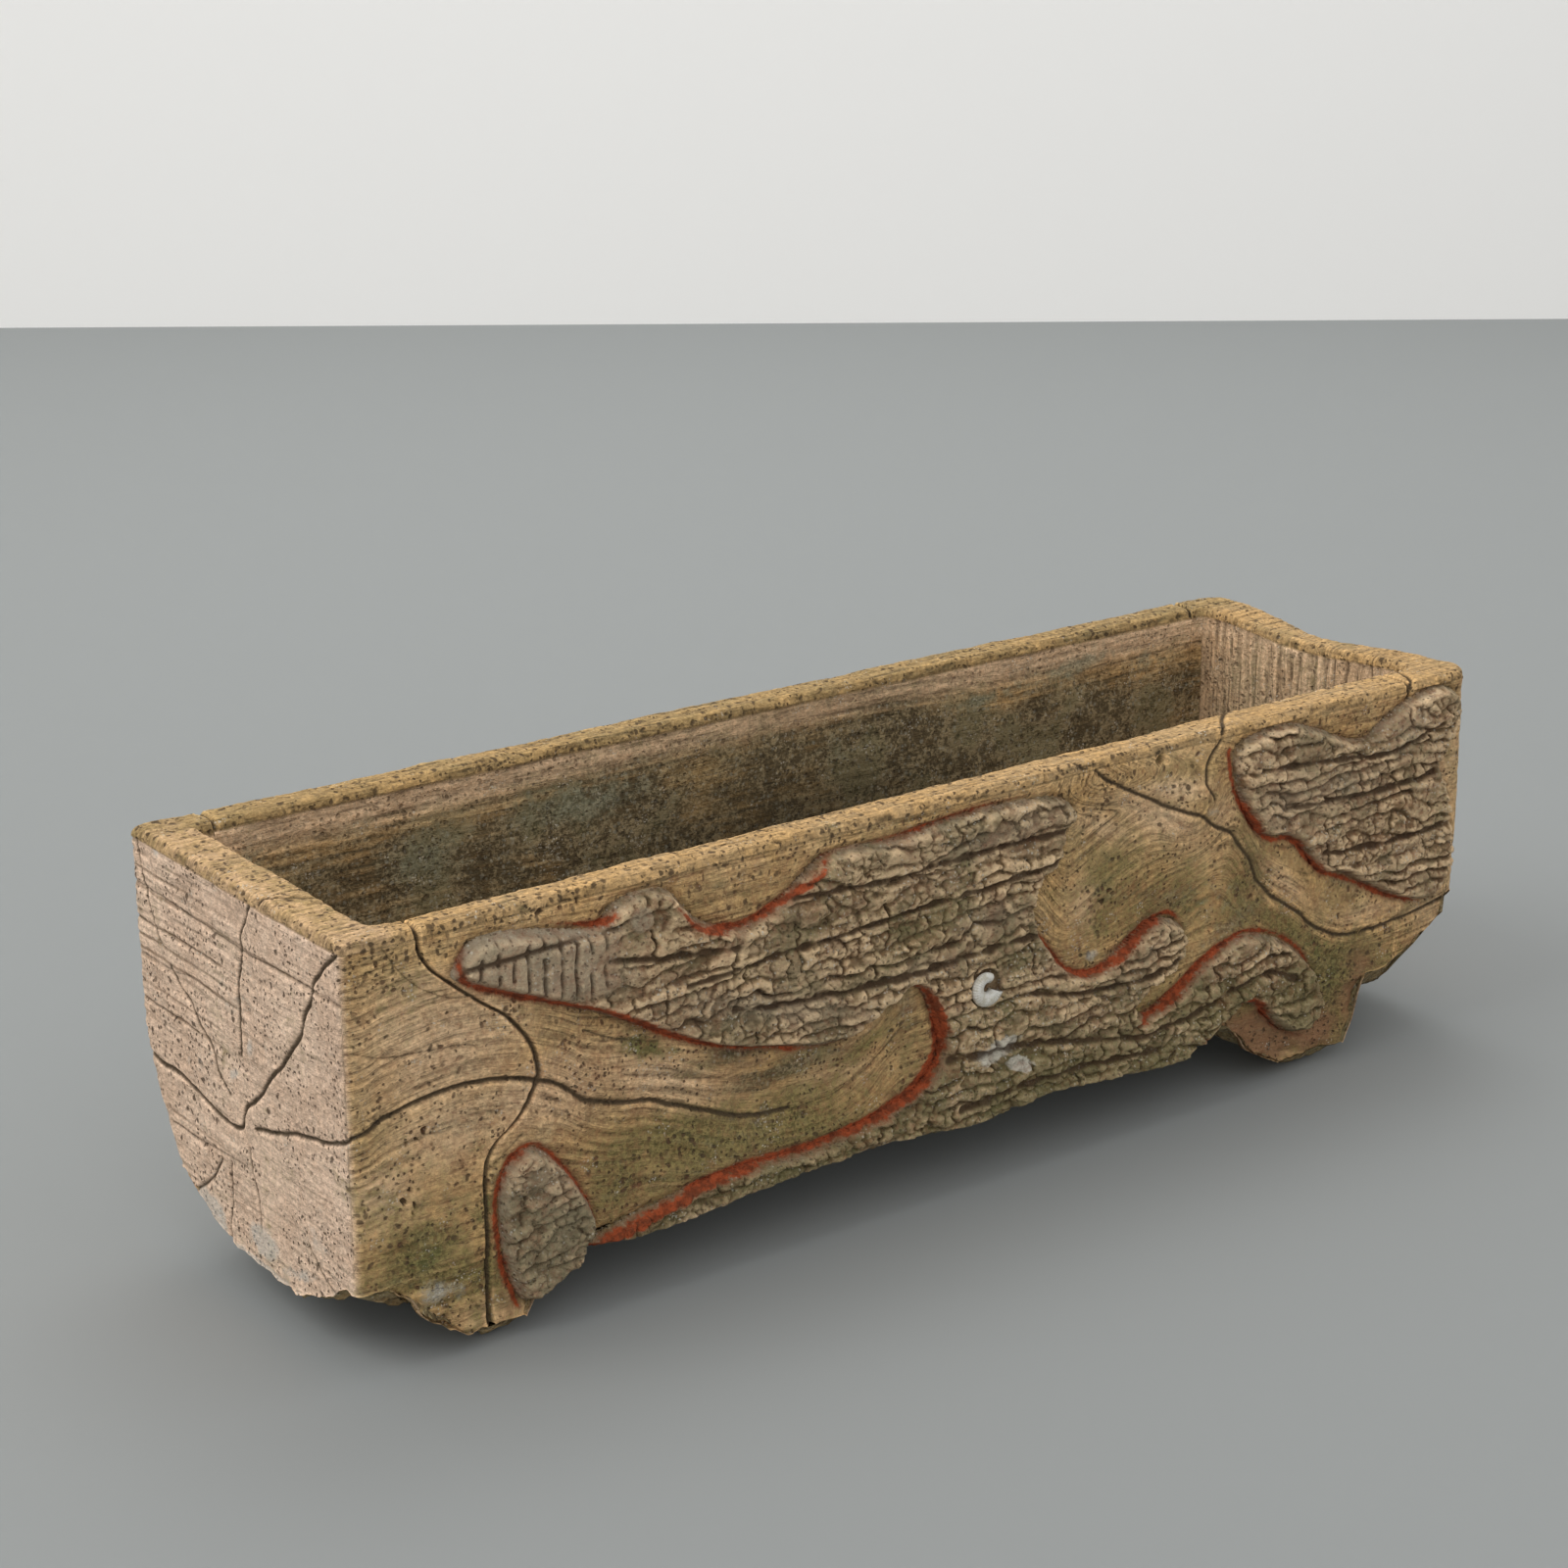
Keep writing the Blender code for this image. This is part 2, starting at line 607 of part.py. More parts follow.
def foot_sections(face, x_share):
    """Places across a foot from toe to heel, each with how far its sole is lifted and its head height."""
    x = LEFT_X + LENGTH * x_share
    inward = -face
    if face < 0:
        outer = FRONT_Y
        shoulder = front_y(x, 0)
        seat = shoulder
    else:
        outer = back_y(FLOOR_UNDER, None)
        shoulder = back_y(FOOT_HEAD, 0)
        seat = back_y(FLOOR_UNDER, 0)
    toe = outer + inward * FOOT_SETBACK
    step_in = seat - inward * FOOT_STEP
    low_head = LEDGE_BOTTOM + LEDGE_THICK / 2
    return (
        (toe, TOE_LIFT, FOOT_HEAD),
        (toe + inward * TOE_RUN, 0, FOOT_HEAD),
        (shoulder - inward * FOOT_SHOULDER, 0, FOOT_HEAD),
        (step_in, 0, low_head),
        (step_in + inward * (FOOT_REACH - HEEL_RUN), 0, low_head),
        (step_in + inward * FOOT_REACH, HEEL_LIFT, low_head),
    )


def clip(outline, low, high):
    """The part of a left-to-right outline between two x places."""
    found = []
    for first, second in zip(outline, outline[1:]):
        for limit in (low, high):
            if first[0] < limit < second[0]:
                share = (limit - first[0]) / (second[0] - first[0])
                found.append((limit, first[1] + (second[1] - first[1]) * share))
        if low < second[0] < high:
            found.append(second)
    if low < outline[0][0] < high:
        found.insert(0, outline[0])
    return found


def foot(name, shares, face, low, high):
    """One root foot, or the part of it between two joints, as a helper that is joined to its wall."""
    outline = clip([(LEFT_X + LENGTH * along, HEIGHT * up) for along, up in shares], low, high)
    middle = sum(along for along, up in shares) / len(shares)
    rings = []
    for y, lift, head in foot_sections(face, middle):
        ring = [Vector((x, y, max(z * head / FOOT_HEAD, lift))) for x, z in outline]
        for x in (outline[-1][0], outline[0][0]):
            ring.append(Vector((x, y, head)))
        rings.append(ring)
    return add_cutter(name, closed_tube(rings))


def smooth_outline(shares):
    """A closed curve through an outline's points, in metres along and up."""
    points = [Vector((LEFT_X + LENGTH * along, HEIGHT * up)) for along, up in shares]
    count = len(points)
    curve = []
    for index in range(count):
        before, start, end, after = (points[(index + step) % count] for step in (-1, 0, 1, 2))
        for step in range(SPLINE_STEPS):
            t = step / SPLINE_STEPS
            pull = (end - before) * t + (2 * before - 5 * start + 4 * end - after) * t ** 2
            pull += (3 * start - before - 3 * end + after) * t ** 3
            curve.append(start + pull / 2)
    return curve


def drawn_in(outline, distance):
    """The outline moved inwards by a distance, each point along its own bisector."""
    count = len(outline)
    area = sum(outline[i - 1].cross(outline[i]) for i in range(count))
    turn = 1 if area > 0 else -1
    found = []
    for index, point in enumerate(outline):
        arriving = (point - outline[index - 1]).normalized()
        leaving = (outline[(index + 1) % count] - point).normalized()
        along = (arriving + leaving).normalized()
        found.append(point + Vector((-along.y, along.x)) * turn * distance)
    return found


def bark(name, shares, face):
    """A plate of cement bark on a long face, with its outer edge eased."""
    outline = smooth_outline(shares)
    eased = drawn_in(outline, BARK_EDGE)
    wall_y = FRONT_Y if face < 0 else BACK_Y
    layers = (
        (outline, wall_y + face * GAP),
        (outline, wall_y + face * (BARK_RELIEF - BARK_DROP)),
        (eased, wall_y + face * BARK_RELIEF),
    )
    rings = [[Vector((along, y, up)) for along, up in points] for points, y in layers]
    return add_object(name, closed_tube(rings), BARK)


def furrow(name, shares, face):
    """A helper that cuts one V-shaped furrow into the face of a bark plate."""
    surface = (FRONT_Y if face < 0 else BACK_Y) + face * BARK_RELIEF
    rings = []
    for index, (along, up) in enumerate(shares):
        size = FURROW_TAPER if index in (0, len(shares) - 1) else 1
        x = LEFT_X + LENGTH * along
        z = HEIGHT * up
        deep = surface - face * FURROW_DEPTH * size
        proud = surface + face * FURROW_DEPTH * size
        half = FURROW_WIDTH * size
        rings.append([Vector((x, deep, z)), Vector((x, proud, z - half)), Vector((x, proud, z + half))])
    return add_cutter(name, closed_tube(rings))


def snail_shell():
    """One fat turn of a flattened horn. Gives back the cutter of the pocket that it lies in."""
    middle_x = LEFT_X + LENGTH * SHELL_PLACE_SHARES[0]
    middle_z = HEIGHT * SHELL_PLACE_SHARES[1]
    middle_y = FRONT_Y - BARK_RELIEF + POCKET_DEPTH - GAP - SHELL_HALF_THICK
    rings = []
    for step in range(SHELL_STEPS + 1):
        share = step / SHELL_STEPS
        turn = SHELL_OPENING + SHELL_TURN * share
        reach = SHELL_START + (SHELL_END - SHELL_START) * share
        fat = SHELL_THIN + (SHELL_FAT - SHELL_THIN) * share
        ring = []
        for side in range(ROD_SIDES):
            around = 2 * math.pi * side / ROD_SIDES
            out = reach + fat * math.cos(around)
            y = middle_y + SHELL_HALF_THICK * fat / SHELL_FAT * math.sin(around)
            ring.append(Vector((middle_x + out * math.cos(turn), y, middle_z + out * math.sin(turn))))
        rings.append(ring)
    shell = add_object("snail_shell", closed_tube(rings), SHELL)
    shell.data.shade_smooth()
    face = FRONT_Y - BARK_RELIEF
    pocket = []
    for y in (face - BARK_RELIEF, face + POCKET_DEPTH):
        pocket.append([Vector((middle_x + x, y, middle_z + z)) for x, z in round_points(POCKET_RADIUS)])
    return add_cutter("shell_pocket", closed_tube(pocket))


def floor_x(share):
    """A place along the floor."""
    return LEFT_INNER_X + (RIGHT_INNER_X - LEFT_INNER_X) * share


def floor_slabs(rings):
    """Flat slabs that follow the inner faces of the walls, with a clearance all round and between them."""
    stations = [station for ring in rings for station in ring]
    levels = [[station.inner(z, GAP) for station in stations] for z in (FLOOR_UNDER, FLOOR_TOP)]
    edges = (LEFT_X, *(floor_x(share) for share in DRAIN_SHARES), RIGHT_X)
    slabs = []
    for side_name, low, high in zip(("left", "middle", "right"), edges, edges[1:]):
        slab = add_object(f"floor_slab_{side_name}", closed_tube(levels))
        start = low + GAP / 2
        end = high - GAP / 2
        reach = []
        for z in (FLOOR_UNDER - FLOOR_THICK, FLOOR_TOP + FLOOR_THICK):
            corners = ((start, FRONT_Y), (end, FRONT_Y), (end, BACK_Y), (start, BACK_Y))
            reach.append([Vector((x, y, z)) for x, y in corners])
        boolean(slab, add_cutter(f"floor_reach_{side_name}", closed_tube(reach)), "INTERSECT")
        slabs.append(slab)
    return slabs


def drain_holes(slabs):
    """Round holes down through the floor, one on each joint between two slabs."""
    back = back_y(FLOOR_TOP, 0)
    for share, before, after in zip(DRAIN_SHARES, slabs, slabs[1:]):
        middle_x = floor_x(share)
        front = front_y(middle_x, 0)
        middle_y = front + (back - front) * DRAIN_ACROSS_SHARE
        hole = []
        for z in (FLOOR_UNDER - FLOOR_THICK, FLOOR_TOP + FLOOR_THICK):
            hole.append([Vector((middle_x + x, middle_y + y, z)) for x, y in round_points(DRAIN_RADIUS)])
        cutter = add_cutter(f"drain_beside_{before.name}", closed_tube(hole))
        boolean(before, cutter)
        boolean(after, cutter)


def add_feet(front, back, left):
    """Joins the root feet to the walls; the joint splits each left foot between two pieces."""
    joints = {-1: FRONT_LEFT_JOINT_SHARES, 1: BACK_LEFT_JOINT_SHARES}
    for face, side_name, wall_object in ((-1, "front", front), (1, "back", back)):
        joint = joints[face]
        split = joint_x(joint, 0)
        toe = foot(f"{side_name}_left_toe", LEFT_FOOT_SHARES, face, LEFT_X, split - GAP / 2)
        heel = foot(f"{side_name}_left_foot", LEFT_FOOT_SHARES, face, split + GAP / 2, 0)
        right_foot = foot(f"{side_name}_right_foot", RIGHT_FOOT_SHARES, face, 0, RIGHT_X)
        boolean(left, toe, "UNION")
        boolean(wall_object, heel, "UNION")
        boolean(wall_object, right_foot, "UNION")


def build():
    """Clears the scene and makes every piece."""
    for old in list(bpy.data.objects):
        bpy.data.objects.remove(old)

    front_ring = long_ring(front_station, FRONT_LEFT_JOINT_SHARES, FRONT_RIGHT_JOINT_SHARES)
    back_ring = long_ring(back_station, BACK_LEFT_JOINT_SHARES, BACK_RIGHT_JOINT_SHARES)
    left_ring = end_ring(-1, FRONT_LEFT_JOINT_SHARES, BACK_LEFT_JOINT_SHARES)
    right_ring = end_ring(1, FRONT_RIGHT_JOINT_SHARES, BACK_RIGHT_JOINT_SHARES)
    front = wall("front_wall", front_ring)
    back = wall("back_wall", back_ring)
    left = wall("left_end", left_ring)
    right = wall("right_end", right_ring)
    slabs = floor_slabs((front_ring, right_ring, back_ring[::-1], left_ring[::-1]))

    add_feet(front, back, left)
    drain_holes(slabs)

    # Steel rods
    along = Vector((1, 0, 0))
    for number, share in enumerate(STIRRUP_PLACE_SHARES, 1):
        path = stirrup_path(floor_x(share))
        slab = slabs[sum(share > joint for joint in DRAIN_SHARES)]
        carriers = (front, slab, back)
        rod_and_bores(f"stirrup_{number}", path, STIRRUP_ROD, carriers, normal=along, past=GAP)
    rod_and_bores("rim_hoop", hoop_path(), HOOP_ROD, (front, back, left, right), closed=True)
    rod_z = FLOOR_UNDER + FLOOR_ROD_COVER
    slab_back = back_y(FLOOR_UNDER, 0)
    slab_front = front_y(0, 0)
    for number, share in enumerate(FLOOR_ROD_SHARES, 1):
        y = slab_front + (slab_back - slab_front) * share
        start = Vector((LEFT_INNER_X - FLOOR_ROD_DOWEL, y, rod_z))
        end = Vector((RIGHT_INNER_X + FLOOR_ROD_DOWEL, y, rod_z))
        rod_and_bores(f"floor_rod_{number}", [start, end], FLOOR_ROD, (*slabs, left, right), past=GAP)

    # Cement bark
    for name, outline, furrows, face in (
        ("bark_front_main", MAIN_BARK_SHARES, MAIN_FURROW_SHARES, -1),
        ("bark_front_foot", FOOT_BARK_SHARES, (), -1),
        ("bark_front_upper", UPPER_BARK_SHARES, UPPER_FURROW_SHARES, -1),
        ("bark_back_long", BACK_LONG_SHARES, BACK_LONG_FURROW_SHARES, 1),
        ("bark_back_short", BACK_SHORT_SHARES, BACK_SHORT_FURROW_SHARES, 1),
    ):
        plate = bark(name, outline, face)
        for number, shares in enumerate(furrows, 1):
            boolean(plate, furrow(f"{name}_furrow_{number}", shares, face))
        if name == "bark_front_main":
            boolean(plate, snail_shell())


build()
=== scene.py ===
"""The faux bois planter, dressed: weathered cement worked as wood, with cement bark, cracks and old red paint.

The walls, ends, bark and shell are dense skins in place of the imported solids. Their shape is moved in code, and
their colour comes from procedural materials that read masks kept on the vertices. The floor slabs and the steel
rods stay as they are, with materials of their own.
"""

import functools
import itertools
import math

import bpy
import numpy as np
from mathutils import Matrix, Vector


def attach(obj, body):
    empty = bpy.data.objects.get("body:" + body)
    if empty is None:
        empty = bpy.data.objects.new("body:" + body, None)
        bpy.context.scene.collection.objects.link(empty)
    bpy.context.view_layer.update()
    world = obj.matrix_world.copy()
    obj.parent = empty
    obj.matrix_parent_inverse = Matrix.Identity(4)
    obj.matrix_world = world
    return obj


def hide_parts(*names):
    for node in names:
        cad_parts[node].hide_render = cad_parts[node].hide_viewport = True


bl_info = {
    "name": "Faux bois planter",
    "version": (1, 0, 0),
    "blender": (4, 5, 0),
    "location": "3D View > Sidebar > Planter",
    "description": "Builds a cement planter worked as wood",
    "category": "Add Mesh",
}

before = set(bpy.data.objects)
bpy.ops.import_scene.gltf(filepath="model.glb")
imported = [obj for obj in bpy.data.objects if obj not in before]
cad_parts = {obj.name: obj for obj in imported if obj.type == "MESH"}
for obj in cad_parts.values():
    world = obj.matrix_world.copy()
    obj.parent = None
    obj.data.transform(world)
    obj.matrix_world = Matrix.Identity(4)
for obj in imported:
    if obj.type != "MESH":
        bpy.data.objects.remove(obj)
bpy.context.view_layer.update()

# Overall size and the walls, as in the solids
LENGTH = 1.012
DEPTH = 0.314
HEIGHT = 0.300
GAP = 0.0003
BARK_RELIEF = 0.010
FRONT_WALL_LEFT = 0.026
FRONT_WALL_RIGHT = 0.038
BACK_WALL = 0.031
LEFT_WALL = 0.0375 * LENGTH
RIGHT_WALL = 0.0415 * LENGTH
LEFT_CORNER = 0.008
RIGHT_CORNER = 0.020
INNER_CORNER = 0.008
RIM_ROUND = 0.008
HEM_EASE = 0.006
HEM_RAGGED = 0.0026
DEEPEST = 0.009
PROUDEST = 0.006
BACK_LEAN = 0.27 * DEPTH
BACK_LEAN_TOP = 0.567 * HEIGHT
BACK_LEAN_POWER = 1.5
FLUTE_DEPTH = 0.012
FLUTE_WIDTH = 0.045
RIM_DIP = 0.006
FLOOR_UNDER = 0.15 * HEIGHT
LEDGE = 0.0198 * LENGTH
LEDGE_THICK = 0.014
LEDGE_TOP = FLOOR_UNDER - GAP
LEDGE_BOTTOM = LEDGE_TOP - LEDGE_THICK
TOE_RUN = 0.012
TOE_LIFT = 0.012
HEEL_RUN = 0.006
HEEL_LIFT = 0.008
HEEL_REACH = 0.031
HEEL_HEAD = LEDGE_BOTTOM + LEDGE_THICK / 2
LEFT_X = -LENGTH / 2
RIGHT_X = LENGTH / 2
FRONT_Y = BARK_RELIEF - DEPTH / 2
BACK_Y = DEPTH / 2 - BARK_RELIEF
LEFT_INNER_X = LEFT_X + LEFT_WALL
RIGHT_INNER_X = RIGHT_X - RIGHT_WALL

# Weathering of the cement: how deep each mark goes, in metres
PORE_DEPTH = 0.0016
PIT_DEPTH = 0.0030
GRAIN_LINE_DEPTH = 0.0012
BAND_DEPTH = 0.0016
KNOT_RING_DEPTH = 0.0007
KNOT_HOLE_DEPTH = 0.005
SAW_DEPTH = 0.0009
HEM_WEAR = 0.0022
RIM_BAND_HEIGHT = 0.278
BED_GROOVE = 0.0045
KNOT = (0.207, 0.243)
KNOT_HOLE = (0.172, 0.286)

# Grooves of the joints: steps away from the joint, depth, darkness
JOINT_GROOVE = ((0, 0.0034, 1.0), (1, 0.0020, 0.62))

# Bark: height of its layers, its surface at its border, where it is cut off there and how deep it is closed behind
BARK_LAYER = 0.0122
BARK_BURIED = -0.0030
BARK_TRIM = -0.0016
BARK_SEAT = 0.007

# The shares below are in thousandths: of a side's length, and of the full height.
# Underside of the walls: place along the side, and height
FRONT_HEM_SHARES = (
    (0, 190), (25, 167), (55, 157), (170, 150), (220, 143), (300, 160), (370, 173), (430, 175), (500, 153), (550, 167),
    (660, 153), (700, 147), (730, 173), (800, 173), (913, 193), (932, 210), (950, 243), (968, 273), (987, 328),
    (1000, 360),
)
BACK_HEM_SHARES = ((0, 190), (60, 150), (300, 140), (600, 150), (920, 170), (1000, 260))
LEFT_HEM_SHARES = (
    (0, 190), (130, 133), (220, 108), (310, 87), (400, 80), (720, 80), (850, 110), (930, 150), (1000, 190),
)
RIGHT_HEM_SHARES = ((0, 360), (100, 260), (200, 180), (330, 140), (500, 120), (750, 120), (900, 180), (1000, 260))

# Joints between walls and ends, from the rim down
FRONT_LEFT_JOINT_SHARES = (
    (54, 1000), (56, 940), (64, 893), (82, 840), (100, 790), (117, 750), (130, 697), (137, 652), (140, 597),
    (137, 570), (130, 527), (120, 497), (107, 473), (99, 433), (97, 387), (97, 0),
)
FRONT_RIGHT_JOINT_SHARES = ((928, 1000), (928, 0))
BACK_LEFT_JOINT_SHARES = ((50, 1000), (54, 700), (69, 300), (69, 0))
BACK_RIGHT_JOINT_SHARES = ((948, 1000), (944, 700), (928, 300), (928, 0))

# Feet and bark outlines seen from the front
LEFT_FOOT_SHARES = (
    (24.7, 157), (48, 100), (65, 60), (82, 30), (93, 0), (118, 0), (124, 37), (140, 90), (157, 117), (171, 153),
)
RIGHT_FOOT_SHARES = (
    (719, 165), (735, 162), (754, 123), (772, 87), (790, 50), (808, 20), (820, 0), (865, 0), (875, 43), (882, 87),
    (886, 130), (895, 167),
)
MAIN_BARK_SHARES = (
    (81, 887), (98, 937), (133, 927), (181, 893), (196, 933), (215, 950), (239, 937), (259, 860), (293, 810),
    (328, 847), (369, 927), (423, 923), (494, 940), (566, 927), (587, 873), (575, 820), (572, 757), (553, 723),
    (549, 643), (565, 543), (584, 477), (610, 453), (637, 493), (670, 537), (696, 497), (691, 410), (662, 367),
    (649, 317), (665, 300), (694, 347), (727, 403), (764, 427), (803, 377), (831, 287), (844, 173), (830, 120),
    (805, 140), (776, 227), (753, 243), (727, 193), (694, 143), (642, 153), (583, 170), (547, 167), (494, 153),
    (425, 175), (366, 173), (296, 160), (227, 143), (171, 163), (212, 200), (277, 230), (346, 223), (399, 243),
    (447, 290), (467, 363), (461, 460), (444, 553), (406, 503), (375, 470), (331, 500), (289, 533), (246, 593),
    (188, 697), (133, 777), (84, 853),
)
FOOT_BARK_SHARES = (
    (133, 427), (153, 370), (168, 290), (176, 210), (161, 123), (130, 77), (117, 110), (108, 227), (107, 347),
    (116, 417),
)
UPPER_BARK_SHARES = (
    (743, 907), (756, 950), (796, 963), (826, 933), (874, 872), (906, 920), (947, 963), (975, 947), (981, 877),
    (971, 803), (964, 743), (975, 630), (981, 477), (966, 393), (936, 397), (895, 463), (859, 533), (840, 543),
    (818, 623), (798, 673), (773, 693), (754, 787),
)
BACK_LONG_SHARES = (
    (170, 720), (200, 800), (260, 840), (310, 930), (360, 950), (420, 900), (500, 920), (560, 860), (600, 760),
    (550, 660), (470, 620), (400, 590), (330, 630), (260, 600), (200, 650),
)
BACK_SHORT_SHARES = (
    (700, 800), (740, 900), (800, 940), (860, 880), (900, 800), (910, 680), (860, 600), (790, 590), (730, 660),
)
SHELL_PLACE = (0.0020, 0.1521)
SHELL_AROUND = 40
SHELL_ALONG = 96
SHELL_MOUTH = 0.80
SHELL_LIP = 0.20

# Long furrows between the layers of the bark, from left to right, as in the solids
FURROW_WIDTH = 0.008
FURROW_DEPTH = 0.0045
FRONT_FURROW_SHARES = (
    ((120, 887), (164, 840), (204, 813), (253, 787), (288, 777)),
    ((337, 853), (421, 840), (500, 847), (592, 840)),
    ((248, 717), (302, 727), (381, 740), (470, 753), (592, 773)),
    ((287, 627), (352, 603), (441, 590), (520, 603), (554, 597)),
    ((535, 467), (589, 420), (648, 407), (688, 427)),
    ((470, 350), (549, 323), (619, 275), (660, 255), (720, 280), (777, 320), (815, 270)),
    ((480, 215), (575, 225), (670, 205)),
    ((765, 870), (850, 845), (905, 830), (960, 870)),
    ((790, 750), (880, 735), (955, 740)),
    ((835, 600), (910, 585), (965, 590)),
)
BACK_FURROW_SHARES = (
    ((330, 870), (420, 850), (500, 870)),
    ((220, 760), (310, 780), (400, 770), (500, 800), (560, 790)),
    ((240, 680), (330, 700), (420, 680), (520, 710)),
    ((740, 830), (800, 850), (870, 830)),
    ((730, 730), (800, 740), (890, 720)),
)

# Level saw lines on the left end: height in millimetres, strength at the front and at the back in tenths
SAW_LINES = (
    (289, 0, 5), (282, 0, 6), (272, 0, 8), (266, 1, 5), (258, 7, 10), (248, 0, 4), (241, 0, 5), (235, 3, 9),
    (223, 1, 9), (213, 3, 10), (207, 0, 6), (196, 0, 4), (189, 1, 7), (176, 2, 9), (166, 0, 4), (152, 1, 5),
    (136, 0, 6), (118, 1, 4), (102, 3, 7), (94, 1, 7), (81, 1, 4), (66, 1, 5),
)

# The soft ovals below are in millimetres, degrees and per cent: middle along (X) and up, half length,
# half width, slope, strength. Lime and worn grey on the left end, by its place across (Y)
LEFT_LIME = (
    (56, 46, 22, 14, 10, 150), (-20, 53, 18, 10, 0, 150), (0, 30, 60, 7, 0, 130), (-70, 48, 30, 6, -15, 70),
    (8, 163, 10, 4, -30, 80), (-16, 190, 7, 8, 0, 70), (105, 291, 5, 5, 0, 90), (-95, 85, 30, 16, 0, 45),
    (150, 190, 6, 16, 0, 70), (70, 150, 30, 20, 0, 40), (-60, 290, 20, 6, 0, 35),
)

# Cracks: the share of the full depth, and points in millimetres. On the front: along and up
FRONT_CRACKS = (
    (1, ((-506, 171), (-491, 173), (-481, 178), (-464, 182), (-447, 185), (-426, 187), (-405, 185), (-388, 182),
         (-374, 178), (-360, 172), (-347, 165), (-333, 154), (-319, 147), (-302, 142), (-285, 139), (-264, 131),
         (-243, 121), (-226, 113), (-209, 107), (-188, 102), (-164, 100))),
    (0.35, ((-164, 100), (-129, 100), (-112, 106), (-90, 117), (-66, 135))),
    (0.9, ((90, 305), (96, 300), (115, 286), (133, 274), (159, 260), (181, 248), (211, 236), (230, 224), (246, 213),
           (259, 199), (270, 182), (278, 167), (296, 152), (315, 139), (333, 124), (352, 112), (374, 103), (400, 102),
           (437, 104), (470, 108), (500, 113))),
    (0.8, ((233, 305), (233, 293), (224, 282), (217, 271), (217, 258), (226, 245))),
    (0.5, ((-330, 200), (-300, 186), (-272, 178))),
    (0.35, ((-476, 292), (-462, 272), (-448, 257), (-430, 247), (-410, 243))),
    (0.35, ((-498, 226), (-476, 219), (-446, 216), (-418, 213), (-410, 208))),
    (0.3, ((-300, 160), (-270, 152), (-240, 142), (-210, 139))),
    (0.4, ((-105, 165), (-110, 152), (-122, 145))),
    (0.35, ((-380, 140), (-398, 128), (-411, 120))),
)

# On the left end: across (Y) and up
LEFT_CRACKS = (
    (0.9, ((-38, 302), (-26, 287), (-18, 277), (-12, 265), (-10, 250), (-5, 235), (-4, 212), (-4, 180))),
    (0.5, ((-5, 115), (-8, 97), (-13, 80), (-17, 62))),
    (1, ((-147, 300), (-145, 295), (-128, 282), (-115, 270), (-108, 262), (-103, 250), (-93, 235), (-87, 220),
         (-73, 205), (-58, 190), (-45, 179), (-33, 167), (-20, 154), (-5, 142), (2, 127), (17, 122), (42, 125),
         (67, 131), (92, 135), (117, 134), (139, 137))),
    (0.9, ((-18, 133), (-45, 140), (-73, 149), (-95, 154), (-120, 160), (-147, 171))),
    (0.8, ((92, 210), (79, 199), (67, 194), (54, 181), (39, 170), (32, 157), (17, 146))),
    (0.6, ((134, 292), (132, 275), (126, 257), (117, 241), (107, 225))),
    (0.7, ((36, 92), (47, 77), (59, 67), (77, 55), (89, 47))),
    (0.6, ((21, 95), (24, 70), (28, 47), (28, 25))),
    (0.5, ((-83, 76), (-98, 62), (-115, 54))),
    (0.45, ((-110, 258), (-60, 258), (-10, 256), (40, 257), (90, 259), (146, 260))),
    (0.4, ((20, 236), (80, 235), (146, 234))),
    (0.35, ((0, 211), (60, 213), (100, 209), (144, 209))),
    (0.4, ((60, 176), (100, 176), (142, 175))),
    (0.4, ((0, 100), (50, 96), (110, 93))),
)

# On the rim: along (X) and across (Y)
RIM_CRACKS = (
    (0.9, ((272, -100), (262, -115), (246, -130), (233, -147))),
    (0.9, ((453, -101), (445, -130), (433, -148))),
    (0.7, ((-506, -38), (-490, -46), (-472, -60))),
    (0.7, ((90, -140), (96, -147))),
)

